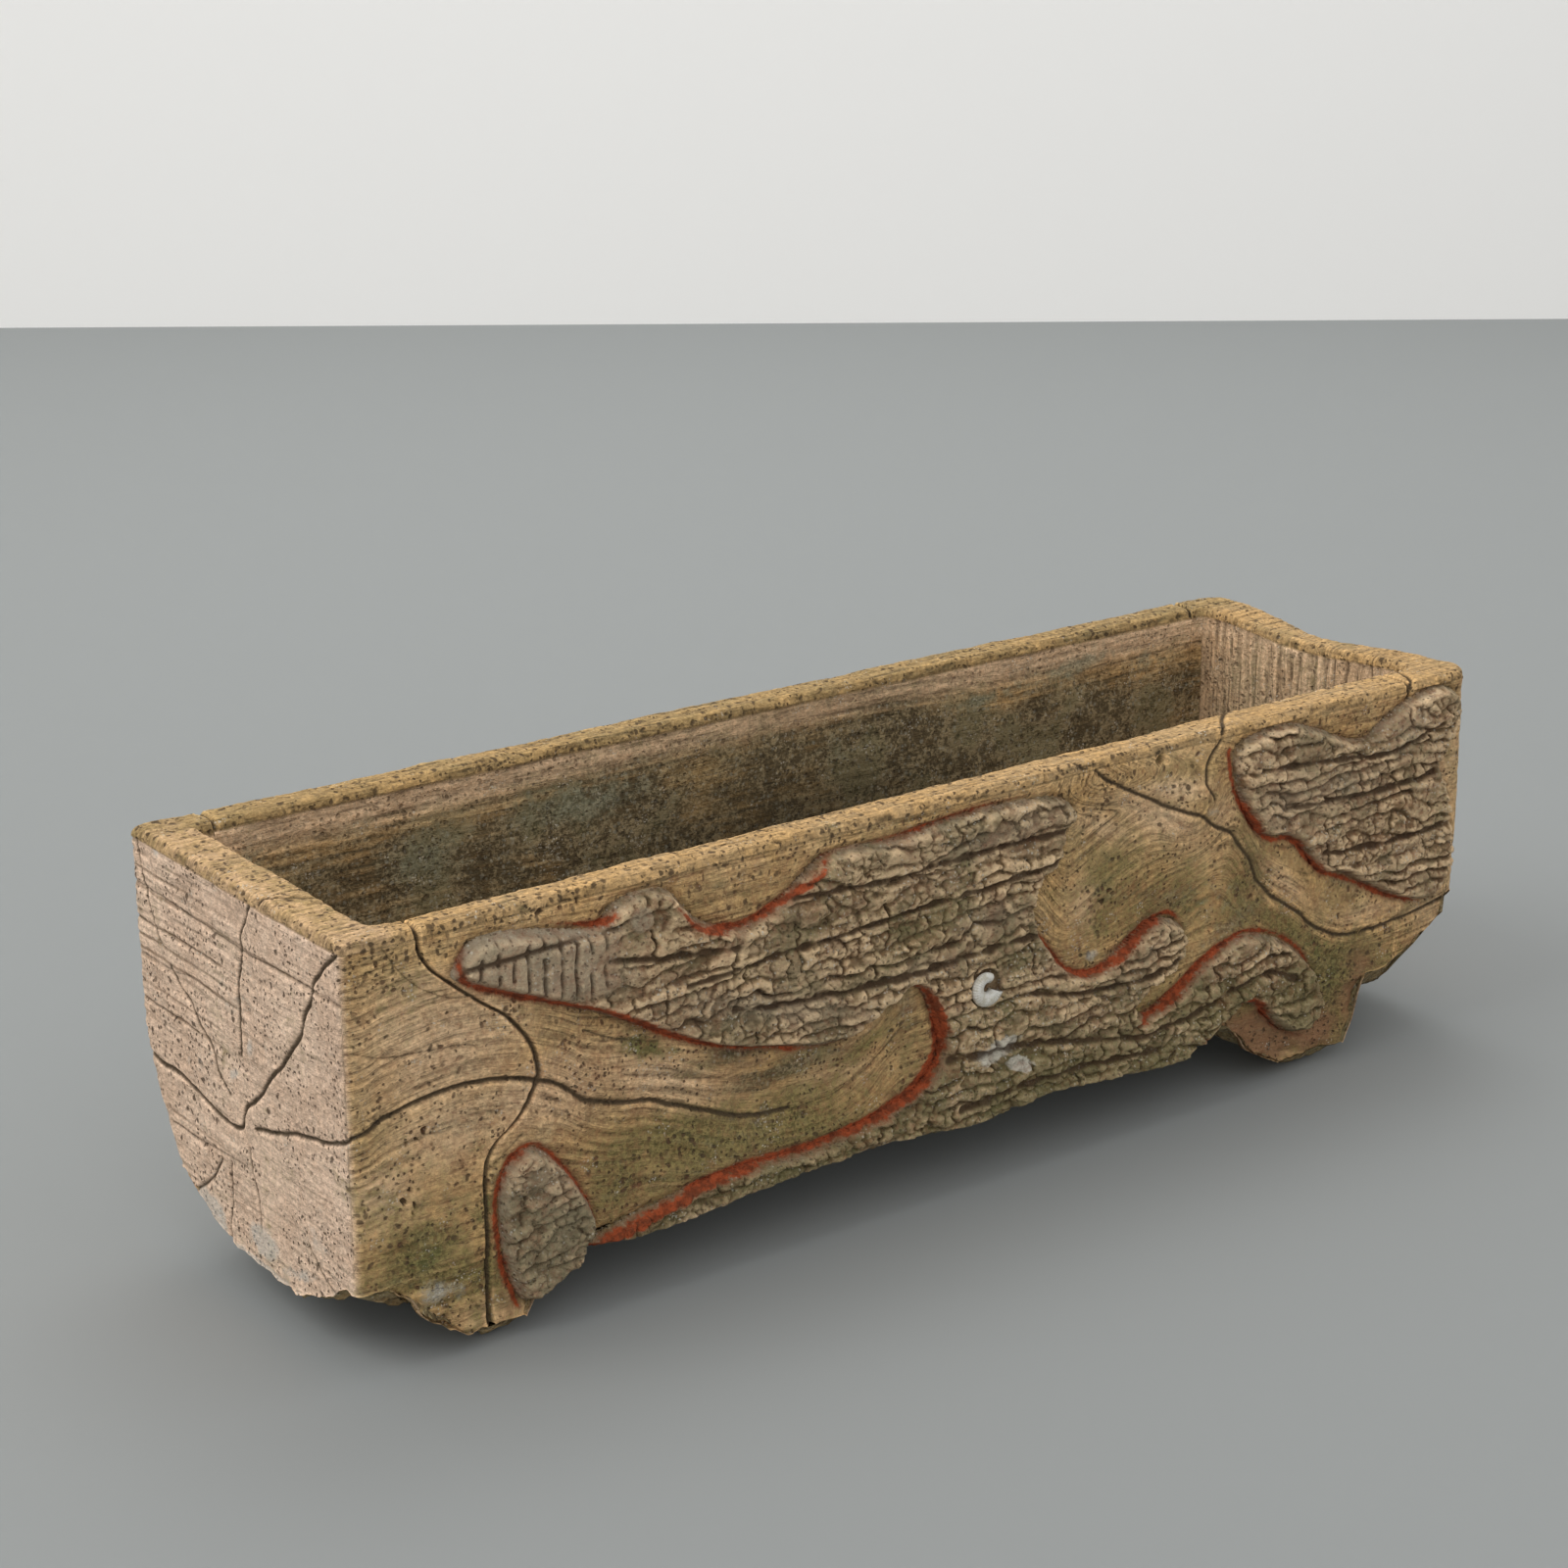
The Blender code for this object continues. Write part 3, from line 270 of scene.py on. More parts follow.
# Strokes of red paint on the front: along, up and half width in millimetres, strength in tenths
PAINT_STROKES = (
    ((-417, 277, 1.4, 8), (-422, 268, 1.6, 9), (-420, 257, 2, 10), (-408, 249, 2.2, 10), (-390, 241, 2.4, 10),
     (-366, 231, 2.4, 10), (-340, 221, 2.2, 10), (-318, 213, 2, 10), (-300, 203, 2.6, 10), (-280, 191, 2.8, 10),
     (-260, 179, 2.6, 10), (-238, 168, 2.4, 9), (-215, 159, 1.8, 9), (-190, 153, 1.6, 9), (-170, 147, 1.6, 9),
     (-150, 142, 1.5, 8), (-128, 141, 1.4, 6), (-105, 143, 1.2, 3)),
    ((-362, 282, 1, 4), (-345, 277, 1.4, 7), (-330, 273, 2.2, 10), (-318, 271, 2.4, 10), (-309, 275, 1.8, 8),
     (-306, 281, 1, 4)),
    ((-268, 279, 1, 5), (-258, 267, 1.5, 8), (-248, 256, 1.9, 10), (-236, 249, 2.2, 10), (-220, 246, 2.3, 10),
     (-200, 246, 2.3, 10), (-182, 251, 2.2, 10), (-166, 257, 2.2, 10), (-152, 264, 2.2, 10), (-141, 272, 1.9, 9),
     (-131, 279, 1.4, 7), (-106, 280, 1, 3.5), (-86, 279, 1.8, 7), (-60, 280, 1.9, 8), (-30, 283, 2, 8),
     (0, 285, 2, 8), (22, 285, 1.6, 6), (50, 284, 1.2, 4), (72, 282, 0.9, 2.5)),
    ((-62, 167, 1.5, 6), (-53, 164, 2, 9), (-47, 158, 2.3, 10), (-42, 149, 2.6, 10), (-38, 138, 3.2, 10),
     (-36, 127, 3.8, 10), (-36, 115, 4.2, 10), (-40, 104, 4.5, 10), (-48, 94, 4.6, 10), (-60, 86, 4.4, 10),
     (-76, 80, 3.8, 10), (-96, 75, 3, 10), (-120, 71, 2.8, 10), (-150, 69, 3, 9), (-180, 70, 3.6, 8),
     (-210, 70, 4.2, 8), (-240, 67, 3.8, 9), (-262, 62, 3.2, 9), (-284, 57, 3.2, 10), (-305, 53, 3.4, 10),
     (-322, 49, 3.6, 10), (-334, 46, 2.5, 8)),
    ((-386, 20, 1.8, 9), (-391, 32, 2.2, 10), (-396, 48, 2.4, 10), (-400, 66, 2.4, 10), (-402, 85, 2.4, 10),
     (-401, 102, 2.2, 10), (-397, 116, 2, 10), (-389, 126, 1.9, 10), (-377, 132, 1.9, 10), (-367, 130, 1.8, 10),
     (-357, 119, 1.7, 10), (-348, 108, 1.6, 10), (-339, 94, 1.5, 10), (-331, 80, 1.4, 9), (-327, 66, 1.2, 8)),
    ((52, 184, 0.9, 4), (61, 172, 1.6, 9), (70, 160, 1.8, 10), (79, 149, 1.8, 10), (89, 141, 2.1, 10),
     (103, 137, 2.5, 9), (118, 138, 2.4, 9), (132, 143, 2.2, 10), (146, 151, 2, 10), (160, 158, 2, 10),
     (175, 163, 2, 10), (189, 163, 1.6, 10), (199, 155, 1.4, 8), (203, 143, 1.2, 6), (200, 130, 0.9, 3)),
    ((150, 86, 1.4, 8), (160, 88, 2.2, 9), (174, 92, 2.3, 9), (188, 99, 2.5, 9), (203, 108, 2.6, 9),
     (218, 117, 2.3, 10), (234, 124, 2.4, 10), (252, 129, 1.9, 10), (268, 131, 1.7, 10), (286, 127, 1.6, 10),
     (302, 120, 1.6, 10), (318, 109, 1.7, 10), (330, 96, 1.7, 9), (340, 81, 1.5, 6), (347, 66, 1.2, 4),
     (350, 50, 1, 2)),
    ((215, 56, 1.6, 5), (240, 61, 2, 4), (258, 75, 1.6, 8), (270, 76, 1.9, 10), (280, 70, 1.9, 10), (290, 58, 1.9, 9),
     (302, 45, 1.7, 8), (320, 34, 1.5, 6), (338, 27, 1.2, 5)),
    ((240, 281, 2.4, 9), (241, 268, 2.6, 10), (245, 253, 2.5, 10), (252, 240, 2.4, 10), (260, 229, 2.4, 10),
     (268, 218, 2.2, 10), (278, 206, 2.2, 10), (290, 200, 2, 10), (303, 199, 2, 10), (314, 193, 2.2, 10),
     (323, 182, 2.3, 10), (334, 172, 2.2, 10), (346, 162, 2, 10), (360, 156, 1.8, 10), (376, 149, 1.7, 10),
     (394, 140, 1.9, 10), (412, 130, 2, 10), (430, 123, 1.9, 10), (446, 117, 1.6, 9), (458, 114, 1.2, 6)),
    ((258, 289, 0.9, 4), (278, 292, 1.1, 5), (300, 291, 1.2, 5), (318, 286, 1, 4), (334, 280, 0.8, 3)),
)

# Swells and hollows of the front, with a height in millimetres in place of the strength
FRONT_SWELLS = (
    (-452, 252, 32, 16, -42, -2.6), (-400, 206, 30, 14, -40, 1.2), (-470, 205, 40, 12, 4, 0.8),
    (-420, 160, 60, 12, 4, -1.6), (-160, 112, 120, 20, -4, -5), (-70, 130, 30, 20, 40, -3),
    (-200, 262, 60, 14, 0, -2.4), (-270, 165, 70, 20, -28, -1.8), (110, 232, 50, 32, 25, -4.2),
    (190, 160, 75, 26, -12, -5), (95, 195, 20, 14, 20, 2.2), (205, 246, 34, 18, 30, 4.5), (290, 180, 75, 11, -48, 2),
    (375, 80, 50, 20, 15, -2.2), (-470, 95, 30, 20, 0, 1), (-350, 70, 20, 40, 0, 1),
)

# Olive and green staining of the front
FRONT_STAINS = (
    (-450, 115, 60, 40, 0, 55), (-405, 80, 20, 50, 0, 50), (-430, 60, 50, 20, -20, 60), (-455, 255, 30, 20, -40, 35),
    (-285, 178, 18, 12, -30, 90), (-200, 100, 150, 26, -4, 95), (-300, 100, 40, 30, 0, 75), (-70, 125, 30, 30, 30, 50),
    (-180, 150, 40, 10, -15, 80), (110, 205, 50, 18, 20, 55), (180, 175, 90, 35, -10, 95), (120, 170, 40, 20, 0, 80),
    (250, 150, 40, 20, -30, 85), (320, 120, 30, 12, -30, 70), (370, 80, 60, 35, 0, 80), (350, 30, 40, 20, 0, 80),
    (330, 172, 30, 8, -40, 50), (0, 70, 200, 25, 0, 90), (200, 75, 120, 30, 0, 80), (20, 115, 100, 20, 0, 50),
    (440, 90, 30, 30, 0, 50), (-50, 235, 100, 12, 4, 45), (310, 225, 90, 10, 0, 35), (255, 170, 35, 45, -20, 95),
    (300, 130, 50, 16, -35, 90), (375, 85, 60, 22, -10, 85), (-460, 88, 40, 26, 10, 95), (-395, 112, 14, 24, -30, 80),
    (-200, 156, 45, 10, 4, 110), (-170, 131, 40, 10, 6, 110), (-105, 128, 30, 10, 20, 100),
)

# Dark stains of the front's bark
BARK_STAINS = (
    (-60, 215, 70, 30, 10, 100), (-160, 225, 50, 12, 10, 70), (-330, 255, 40, 5, 0, 60), (10, 170, 60, 16, 0, 60),
    (-386, 85, 14, 22, 0, 30), (385, 190, 60, 12, 10, 50), (420, 240, 20, 20, 0, 50), (300, 80, 40, 16, 0, 70),
    (30, 130, 60, 14, 0, 60),
)

# Dark soil on the front, and pale plates of its bark
FRONT_SOIL = (
    (-200, 156, 55, 9, 4, 85), (-170, 131, 50, 10, 6, 80), (-420, 160, 30, 7, 0, 45), (-65, 152, 12, 12, 0, 60),
    (150, 152, 40, 7, 25, 45), (245, 137, 30, 6, 20, 60), (355, 163, 45, 6, -38, 60), (-365, 137, 22, 8, 0, 45),
    (165, 182, 60, 8, -15, 40), (470, 110, 30, 6, 8, 50), (-310, 252, 12, 10, 0, 30),
)
BARK_PALE = (
    (-185, 183, 80, 11, -16, 75), (5, 203, 30, 10, 0, 45), (10, 262, 60, 9, 4, 50), (300, 235, 35, 20, 0, 60),
    (360, 232, 40, 16, 0, 50), (425, 258, 30, 14, 40, 60), (-60, 180, 40, 8, 0, 40), (160, 142, 30, 8, 30, 45),
)

# Bright moss of the front, and its clusters of pits
FRONT_GREEN = (
    (-283, 177, 20, 8, -20, 100), (-405, 100, 20, 9, 40, 90), (-412, 140, 12, 8, 40, 70), (-262, 168, 12, 5, -20, 70),
    (-455, 75, 30, 10, 10, 60), (215, 165, 20, 14, 0, 60), (345, 105, 20, 14, -40, 70), (70, 205, 8, 12, 0, 70),
    (-200, 262, 10, 10, 0, 50), (365, 70, 12, 20, 0, 60),
)
PIT_CLUSTERS = (
    (-464, 118, 12, 12, 0, 100), (-452, 160, 22, 7, 20, 70), (118, 190, 24, 12, 20, 70), (-360, 292, 60, 8, 0, 80),
    (-480, 275, 14, 14, 0, 60), (340, 170, 60, 10, -40, 60), (190, 262, 30, 10, 0, 50), (-440, 205, 10, 6, 0, 50),
)

# Reddish brown stains of the front
FRONT_RED = (
    (285, 40, 60, 28, -8, 100), (345, 30, 30, 20, 0, 90), (240, 50, 30, 16, 0, 80), (395, 75, 20, 24, 30, 50),
    (-330, 155, 60, 30, -25, 35), (-100, 155, 50, 14, 35, 40), (395, 45, 30, 30, 0, 75), (-190, 145, 50, 16, 0, 45),
)

# Clean tan places of the front
FRONT_CLEAN = (
    (-440, 220, 70, 60, -20, 100), (-430, 160, 60, 35, 10, 90), (-365, 165, 60, 30, 0, 100),
    (-270, 150, 70, 22, -25, 100), (-130, 115, 40, 16, 10, 60), (-300, 292, 250, 14, 0, 90),
    (150, 292, 200, 14, 0, 100), (170, 245, 60, 18, -30, 90), (235, 235, 20, 20, 0, 60), (300, 165, 45, 10, -40, 70),
    (400, 118, 50, 10, 0, 60), (100, 190, 16, 22, 20, 80), (470, 180, 30, 120, 0, 80), (120, 245, 40, 12, -25, 70),
    (330, 20, 50, 20, 0, 50), (-400, 20, 50, 20, 0, 60), (-100, 150, 30, 12, 40, 50), (-480, 130, 30, 22, 0, 90),
    (185, 262, 40, 12, -10, 100), (300, 284, 40, 12, 0, 90), (430, 284, 40, 10, 0, 80),
)

# Grey-green lichen on the inner faces
INSIDE_LICHEN = (
    (330, 272, 50, 12, 8, 90), (240, 262, 60, 10, 4, 70), (400, 262, 20, 16, 0, 70), (-150, 250, 80, 22, 0, 80),
    (-300, 235, 80, 25, 0, 60), (60, 250, 60, 20, 0, 50), (-430, 262, 20, 20, 0, 70),
)

# Lime on the front
FRONT_LIME = (
    (13, 102, 20, 9, 12, 140), (34, 86, 12, 6, -20, 110), (109, 150, 8, 5, 0, 80), (230, 165, 40, 30, 0, 35),
    (-445, 48, 30, 12, -10, 60), (190, 245, 30, 10, 20, 35), (-190, 100, 80, 20, 0, 30), (225, 236, 12, 6, 0, 50),
    (310, 205, 6, 4, 0, 70),
)

COARSER = 1.0
FINE_CELL = 0.0017
BARK_CELL = 0.0012
TABLE_STEPS = 401
TABLE_EASE = 9
LEFT_CORNER_STEPS = 9
RIGHT_CORNER_STEPS = 15
PAINT_SPREAD = 0.95

# Camera, solved from the view of the rim, the corners and the feet
CAMERA_PLACE = (-1.3421, -1.7312, 0.978)
CAMERA_YAW = math.radians(36.48)
CAMERA_PITCH = math.radians(18.04)
CAMERA_ROLL = math.radians(-0.33)
CAMERA_LENS = 72.16
CAMERA_SENSOR = 36

# Stage: plain pale floor and backdrop, soft lamps (name, place, towards, size, watts, tint)
STAGE_FLOOR_COLOUR = (0.292, 0.305, 0.303)
STAGE_BACKDROP_COLOUR = (0.93, 0.92, 0.90)
STAGE_SIZE = 14
BACKDROP_AWAY = 5.72
WORLD_STRENGTH = 0.77
LAMPS = (
    ("lamp_key", (-5.0, 1.0, 5.5), (0, 0, 0.15), 4.0, 175, (1.0, 0.985, 0.96)),
    ("lamp_over", (1.4, 1.9, 4.2), (2.0, 2.7, 0), 2.4, 50, (1.0, 1.0, 1.0)),
    ("lamp_front", (-2.5, -5.0, 4.0), (0, 0, 0.15), 4.0, 40, (1.0, 1.0, 1.0)),
)


# ---------- noise and distances ----------

_random = np.random.default_rng(7)
SHUFFLE = _random.permutation(256)
SLOPES = _random.normal(size=(256, 3))
SLOPES /= np.linalg.norm(SLOPES, axis=1)[:, None]
SPOTS = _random.random((256, 2))
MARKS = _random.random(256)


def smooth(low, high, value):
    """Rises smoothly from 0 at low to 1 at high."""
    share = np.clip((value - low) / (high - low), 0, 1)
    return share * share * (3 - 2 * share)


def bell(value, width):
    """1 where a value is 0, and less to both sides of it."""
    return np.exp(-((value / width) ** 2))


def swell(points, seed=0):
    """Smooth noise of about -1 to 1, at points given in wavelengths."""
    cell = np.floor(points).astype(int)
    part = points - cell
    ease = part ** 3 * (part * (part * 6 - 15) + 10)
    total = np.zeros(len(points))
    for corner in itertools.product((0, 1), repeat=3):
        key = SHUFFLE[(cell[:, 0] + corner[0] + seed * 17) % 256]
        key = SHUFFLE[(key + cell[:, 1] + corner[1]) % 256]
        key = SHUFFLE[(key + cell[:, 2] + corner[2]) % 256]
        weight = np.prod(np.where(corner, ease, 1 - ease), axis=1)
        total += weight * np.sum(SLOPES[key] * (part - np.array(corner)), axis=1)
    return total * 1.7


def rough(points, layers, seed=0):
    """Several sizes of noise together, each half as wide and half as high as the one before."""
    total = np.zeros(len(points))
    for layer in range(layers):
        total += swell(points * 2 ** layer, seed + layer) / 2 ** layer
    return total


def flat_noise(across, up, scale_across, scale_up, layers=1, seed=0):
    """Noise over a flat place, with its own number of waves per metre each way."""
    points = np.stack((across * scale_across, up * scale_up, np.full(len(across), seed * 1.37)), axis=1)
    return rough(points, layers, seed)


def crazing(points, seed):
    """Irregular cells over flat points: how far a point is from its cell's border, and the cell's own value."""
    cell = np.floor(points).astype(int)
    nearest = np.full(len(points), 9.0)
    second = np.full(len(points), 9.0)
    mark = np.zeros(len(points))
    for step in itertools.product((-1, 0, 1), repeat=2):
        home = cell + step
        key = SHUFFLE[(SHUFFLE[(home[:, 0] + seed * 31) % 256] + home[:, 1]) % 256]
        gap = np.linalg.norm(home + SPOTS[key] - points, axis=1)
        closer = gap < nearest
        second = np.where(closer, nearest, np.minimum(second, gap))
        mark = np.where(closer, MARKS[key], mark)
        nearest = np.minimum(nearest, gap)
    return second - nearest, mark


def curve_through(points, steps=4, closed=False):
    """A smooth line through points of any width, as rows of numbers."""
    points = np.asarray(points, float)
    count = len(points)
    found = []
    for index in range(count if closed else count - 1):
        if closed:
            before, start, end, after = (points[(index + step) % count] for step in (-1, 0, 1, 2))
        else:
            before, start, end, after = (points[min(max(index + step, 0), count - 1)] for step in (-1, 0, 1, 2))
        for t in np.arange(steps) / steps:
            pull = (end - before) * t + (2 * before - 5 * start + 4 * end - after) * t ** 2
            pull += (3 * start - before - 3 * end + after) * t ** 3
            found.append(start + pull / 2)
    if not closed:
        found.append(points[-1])
    return np.array(found)


def nearest_on(places, line, reach):
    """For flat places within reach of a line: the nearest point of it, the distance, and how far along it is."""
    near = places.copy()
    gap = np.full(len(places), 1.0)
    along = np.zeros(len(places))
    inside = np.all((places > line.min(0) - reach) & (places < line.max(0) + reach), axis=1)
    chosen = np.flatnonzero(inside)
    if not len(chosen):
        return near, gap, along
    local = places[chosen]
    best = np.full(len(chosen), 1.0)
    spot_best = local.copy()
    along_best = np.zeros(len(chosen))
    for index, (start, end) in enumerate(zip(line, line[1:])):
        run = end - start
        share = np.clip((local - start) @ run / max(run @ run, 1e-12), 0, 1)
        spot = start + share[:, None] * run
        distance = np.linalg.norm(local - spot, axis=1)
        closer = distance < best
        best = np.where(closer, distance, best)
        spot_best = np.where(closer[:, None], spot, spot_best)
        along_best = np.where(closer, index + share, along_best)
    near[chosen] = spot_best
    gap[chosen] = best
    along[chosen] = along_best
    return near, gap, along


def depth_inside(places, outline, reach=0.05):
    """How far flat places lie inside a closed outline; outside it the distance is negative."""
    closed = np.vstack((outline, outline[:1]))
    gap = np.minimum(nearest_on(places, closed, reach)[1], reach)
    odd = np.zeros(len(places), bool)
    for (x1, z1), (x2, z2) in zip(closed, closed[1:]):
        if z1 == z2:
            continue
        crosses = (places[:, 1] < z1) != (places[:, 1] < z2)
        odd ^= crosses & (places[:, 0] < x1 + (places[:, 1] - z1) * (x2 - x1) / (z2 - z1))
    return np.where(odd, gap, -gap)


def spots(places, table):
    """The strongest of a table of soft, turned ovals at flat places."""
    total = np.zeros(len(places))
    for *shape, strength in table:
        total = np.maximum(total, strength / 100 * oval(places, *shape))
    return total


def oval(places, x, z, half_length, half_width, slope):
    """One soft, turned oval given in millimetres and degrees, 1 in its middle."""
    turn = math.radians(slope)
    dx = places[:, 0] - x / 1000
    dz = places[:, 1] - z / 1000
    run = (dx * math.cos(turn) + dz * math.sin(turn)) / (half_length / 1000)
    rise = (dz * math.cos(turn) - dx * math.sin(turn)) / (half_width / 1000)
    return np.exp(-(run ** 2 + rise ** 2))


def metres(shares):
    """Places on a long side, in metres, from thousandths of the length and of the height."""
    return [(LEFT_X + LENGTH * (along / 1000), HEIGHT * (up / 1000)) for along, up in shares]


def outline_of(shares):
    """A bark outline in metres, smoothed."""
    return curve_through(metres(shares), closed=True)


def painted_border(outline):
    """A stroke of paint all round an outline: place, half width in millimetres and strength."""
    closed = np.vstack((outline, outline[:1]))
    width = 1.4 + 1.2 * np.abs(flat_noise(*closed.T, 14, 14, seed=5))
    return np.column_stack((closed, width, 0.4 + 0.3 * width))


FRONT_OUTLINES = {
    "bark_front_main": outline_of(MAIN_BARK_SHARES),
    "bark_front_foot": outline_of(FOOT_BARK_SHARES),
    "bark_front_upper": outline_of(UPPER_BARK_SHARES),
}
BACK_OUTLINES = {
    "bark_back_long": outline_of(BACK_LONG_SHARES),
    "bark_back_short": outline_of(BACK_SHORT_SHARES),
}
PAINT_LINES = [curve_through(np.divide(stroke, (1000, 1000, 1, 10)), 3) for stroke in PAINT_STROKES]
BACK_PAINT_LINES = [painted_border(outline) for outline in BACK_OUTLINES.values()]


def paint_at(places, lines):
    """How much red paint lies on flat places: above 0 inside a stroke, below 0 outside it."""
    total = np.full(len(places), -1.0)
    for line in lines:
        _, gap, along = nearest_on(places, line[:, :2], 0.012)
        steps = np.arange(len(line))
        half = np.interp(along, steps, line[:, 2]) * PAINT_SPREAD / 1000
        strength = np.interp(along, steps, line[:, 3])
        total = np.maximum(total, np.clip((half - gap) / 0.002, -1, 1) * 0.5 + (strength - 1) * 0.9 + 0.1)
    return np.clip(total, -1, 1)


# ---------- the walls' stations, as in the solids, but for many heights at once (side and face are -1 or 1) ----------

def eased_table(shares, flip=False):
    """A table of shares as two rows of many steps, with its corners eased. Flipped, it is read by its height."""
    places = np.array(shares) / 1000
    if flip:
        places = places[::-1, ::-1]
    steps = np.linspace(places[0, 0], places[-1, 0], TABLE_STEPS)
    values = np.interp(steps, places[:, 0], places[:, 1])
    kernel = np.hanning(2 * TABLE_EASE + 1)
    return steps, np.convolve(np.pad(values, TABLE_EASE, "edge"), kernel / kernel.sum(), "valid")


JOINTS = {key: eased_table(shares, flip=True) for key, shares in (
    ((-1, -1), FRONT_LEFT_JOINT_SHARES), ((1, -1), FRONT_RIGHT_JOINT_SHARES),
    ((-1, 1), BACK_LEFT_JOINT_SHARES), ((1, 1), BACK_RIGHT_JOINT_SHARES))}
HEMS = {name: eased_table(shares) for name, shares in (
    ("front", FRONT_HEM_SHARES), ("back", BACK_HEM_SHARES), ("left", LEFT_HEM_SHARES), ("right", RIGHT_HEM_SHARES))}
FEET = [eased_table(shares) for shares in (LEFT_FOOT_SHARES, RIGHT_FOOT_SHARES)]


def joint_x(side, face, z):
    """Where the joint of an end (side) with a long wall (face) runs at heights z."""
    return LEFT_X + LENGTH * np.interp(z / HEIGHT, *JOINTS[side, face])


def hem_height(name, share):
    """The underside's height at a share of a side, ragged by up to about 5 mm except at the side's ends."""
    level = HEIGHT * float(np.interp(share, *HEMS[name]))
    wave = rough(np.array([[share * (12 if name in ("left", "right") else 38), len(name), 0.5]]), 2, 71)[0]
    return level + HEM_RAGGED * (1 + wave) * min(1, 40 * share * (1 - share))


def back_lean(z):
    """How far the back leans in at heights z."""
    return BACK_LEAN * np.maximum(0, 1 - z / BACK_LEAN_TOP) ** BACK_LEAN_POWER


def front_y(x, depth):
    """The front's outer face, or its inner face and further in by a depth; the same for the back and the ends."""
    if depth is None:
        return np.full_like(x, FRONT_Y)
    return FRONT_Y + FRONT_WALL_LEFT + (FRONT_WALL_RIGHT - FRONT_WALL_LEFT) * (x - LEFT_X) / LENGTH + depth


def back_y(z, depth):
    if depth is None:
        return BACK_Y - back_lean(z)
    return BACK_Y - BACK_WALL - back_lean(z) - depth


def end_x(side, z, depth):
    if depth is None:
        return np.full_like(z, LEFT_X if side < 0 else RIGHT_X)
    return (LEFT_INNER_X if side < 0 else RIGHT_INNER_X) - side * depth


def corner_radius(side, depth):
    if depth is not None:
        return INNER_CORNER
    return LEFT_CORNER if side < 0 else RIGHT_CORNER


class Station:
    """One place round the walls. Its plan gives x and y at heights, outside (depth None) or inside."""

    def __init__(self, plan, hem, rim=HEIGHT, sole=None):
        self.plan = plan
        self.hem = hem
        self.rim = rim
        self.sole = hem if sole is None else sole

    def at(self, run, z):
        """Points at a distance in from the outer face, at heights z."""
        z = np.asarray(z, float)
        run = np.broadcast_to(run, z.shape)
        outer = np.stack(self.plan(z, None), axis=1)
        inner = np.stack(self.plan(z, np.zeros_like(z)), axis=1)
        wall = np.linalg.norm(inner - outer, axis=1)
        between = outer + (inner - outer) * (np.minimum(run, wall) / wall)[:, None]
        past = np.stack(self.plan(z, np.maximum(run - wall, 0)), axis=1)
        flat = np.where((run > wall)[:, None], past, between)
        return np.column_stack((flat, z))

    def wall(self, z):
        """The wall's thickness at one height."""
        z = np.array([z])
        return float(np.linalg.norm(np.stack(self.plan(z, np.zeros(1))) - np.stack(self.plan(z, None))))

    def ring(self, counts):
        """The closed section: outer face, rim, inner face, ledge and underside or foot."""
        outer_rows, round_rows, top_rows, inner_rows, under_rows = counts
        foot = float(smooth(0, 1, (self.hem - self.sole) / (0.4 * self.hem)))
        low = (1 - foot) * (self.hem + HEM_EASE) + foot * max(self.sole, TOE_LIFT)
        high = self.rim - RIM_ROUND
        across = self.wall(self.rim)
        turns = np.linspace(0, math.pi / 2, round_rows + 1)
        inwards = RIM_ROUND * (1 - np.cos(turns))
        rising = high + RIM_ROUND * np.sin(turns)
        level_top = np.linspace(RIM_ROUND, across - RIM_ROUND, top_rows + 1)[1:-1]
        runs = (np.zeros(outer_rows), inwards, level_top, across - inwards[::-1])
        heights = (np.linspace(low, high, outer_rows + 1)[:-1], rising, np.full(top_rows - 1, self.rim), rising[::-1])
        upper = self.at(np.concatenate(runs), np.concatenate(heights))
        down = np.linspace(high, LEDGE_TOP, inner_rows + 1)[1:]
        inner = np.column_stack((*self.plan(down, np.zeros_like(down)), down))
        seat = self.wall(LEDGE_TOP)
        level = (1 - foot) * (LEDGE_BOTTOM + self.hem) / 2 + foot * self.sole
        plain = ((seat, LEDGE_TOP), (seat + LEDGE, LEDGE_TOP), (seat + LEDGE, LEDGE_BOTTOM),
                 (seat + LEDGE / 2, LEDGE_BOTTOM), (seat, LEDGE_BOTTOM), (seat * 0.55, level),
                 (HEM_EASE, self.hem), (0, low))
        footed = ((seat, LEDGE_TOP), (seat + LEDGE, LEDGE_TOP), (seat + HEEL_REACH, HEEL_HEAD),
                  (seat + HEEL_REACH, self.sole + HEEL_LIFT), (seat + HEEL_REACH - HEEL_RUN, self.sole),
                  (seat * 0.55, self.sole), (TOE_RUN, self.sole), (0, low))
        knots = (1 - foot) * np.array(plain) + foot * np.array(footed)
        places = np.linspace(0, len(knots) - 1, under_rows + 1)[1:]
        steps = np.arange(len(knots))
        under = self.at(np.interp(places, steps, knots[:, 0]), np.interp(places, steps, knots[:, 1]))
        return np.vstack((upper, inner, under))


def sole_height(x, hem):
    """The foot outline's height at an x, or the hem where there is no foot."""
    share = (x - LEFT_X) / LENGTH
    for steps, levels in FEET:
        if steps[0] < share < steps[-1]:
            level = HEIGHT * float(np.interp(share, steps, levels))
            wave = 1 + rough(np.array([[x * 60, 0.3, 0.5]]), 3, 72)[0]
            return min(hem, level + HEM_RAGGED * wave * min(1, level / 0.015))
    return hem


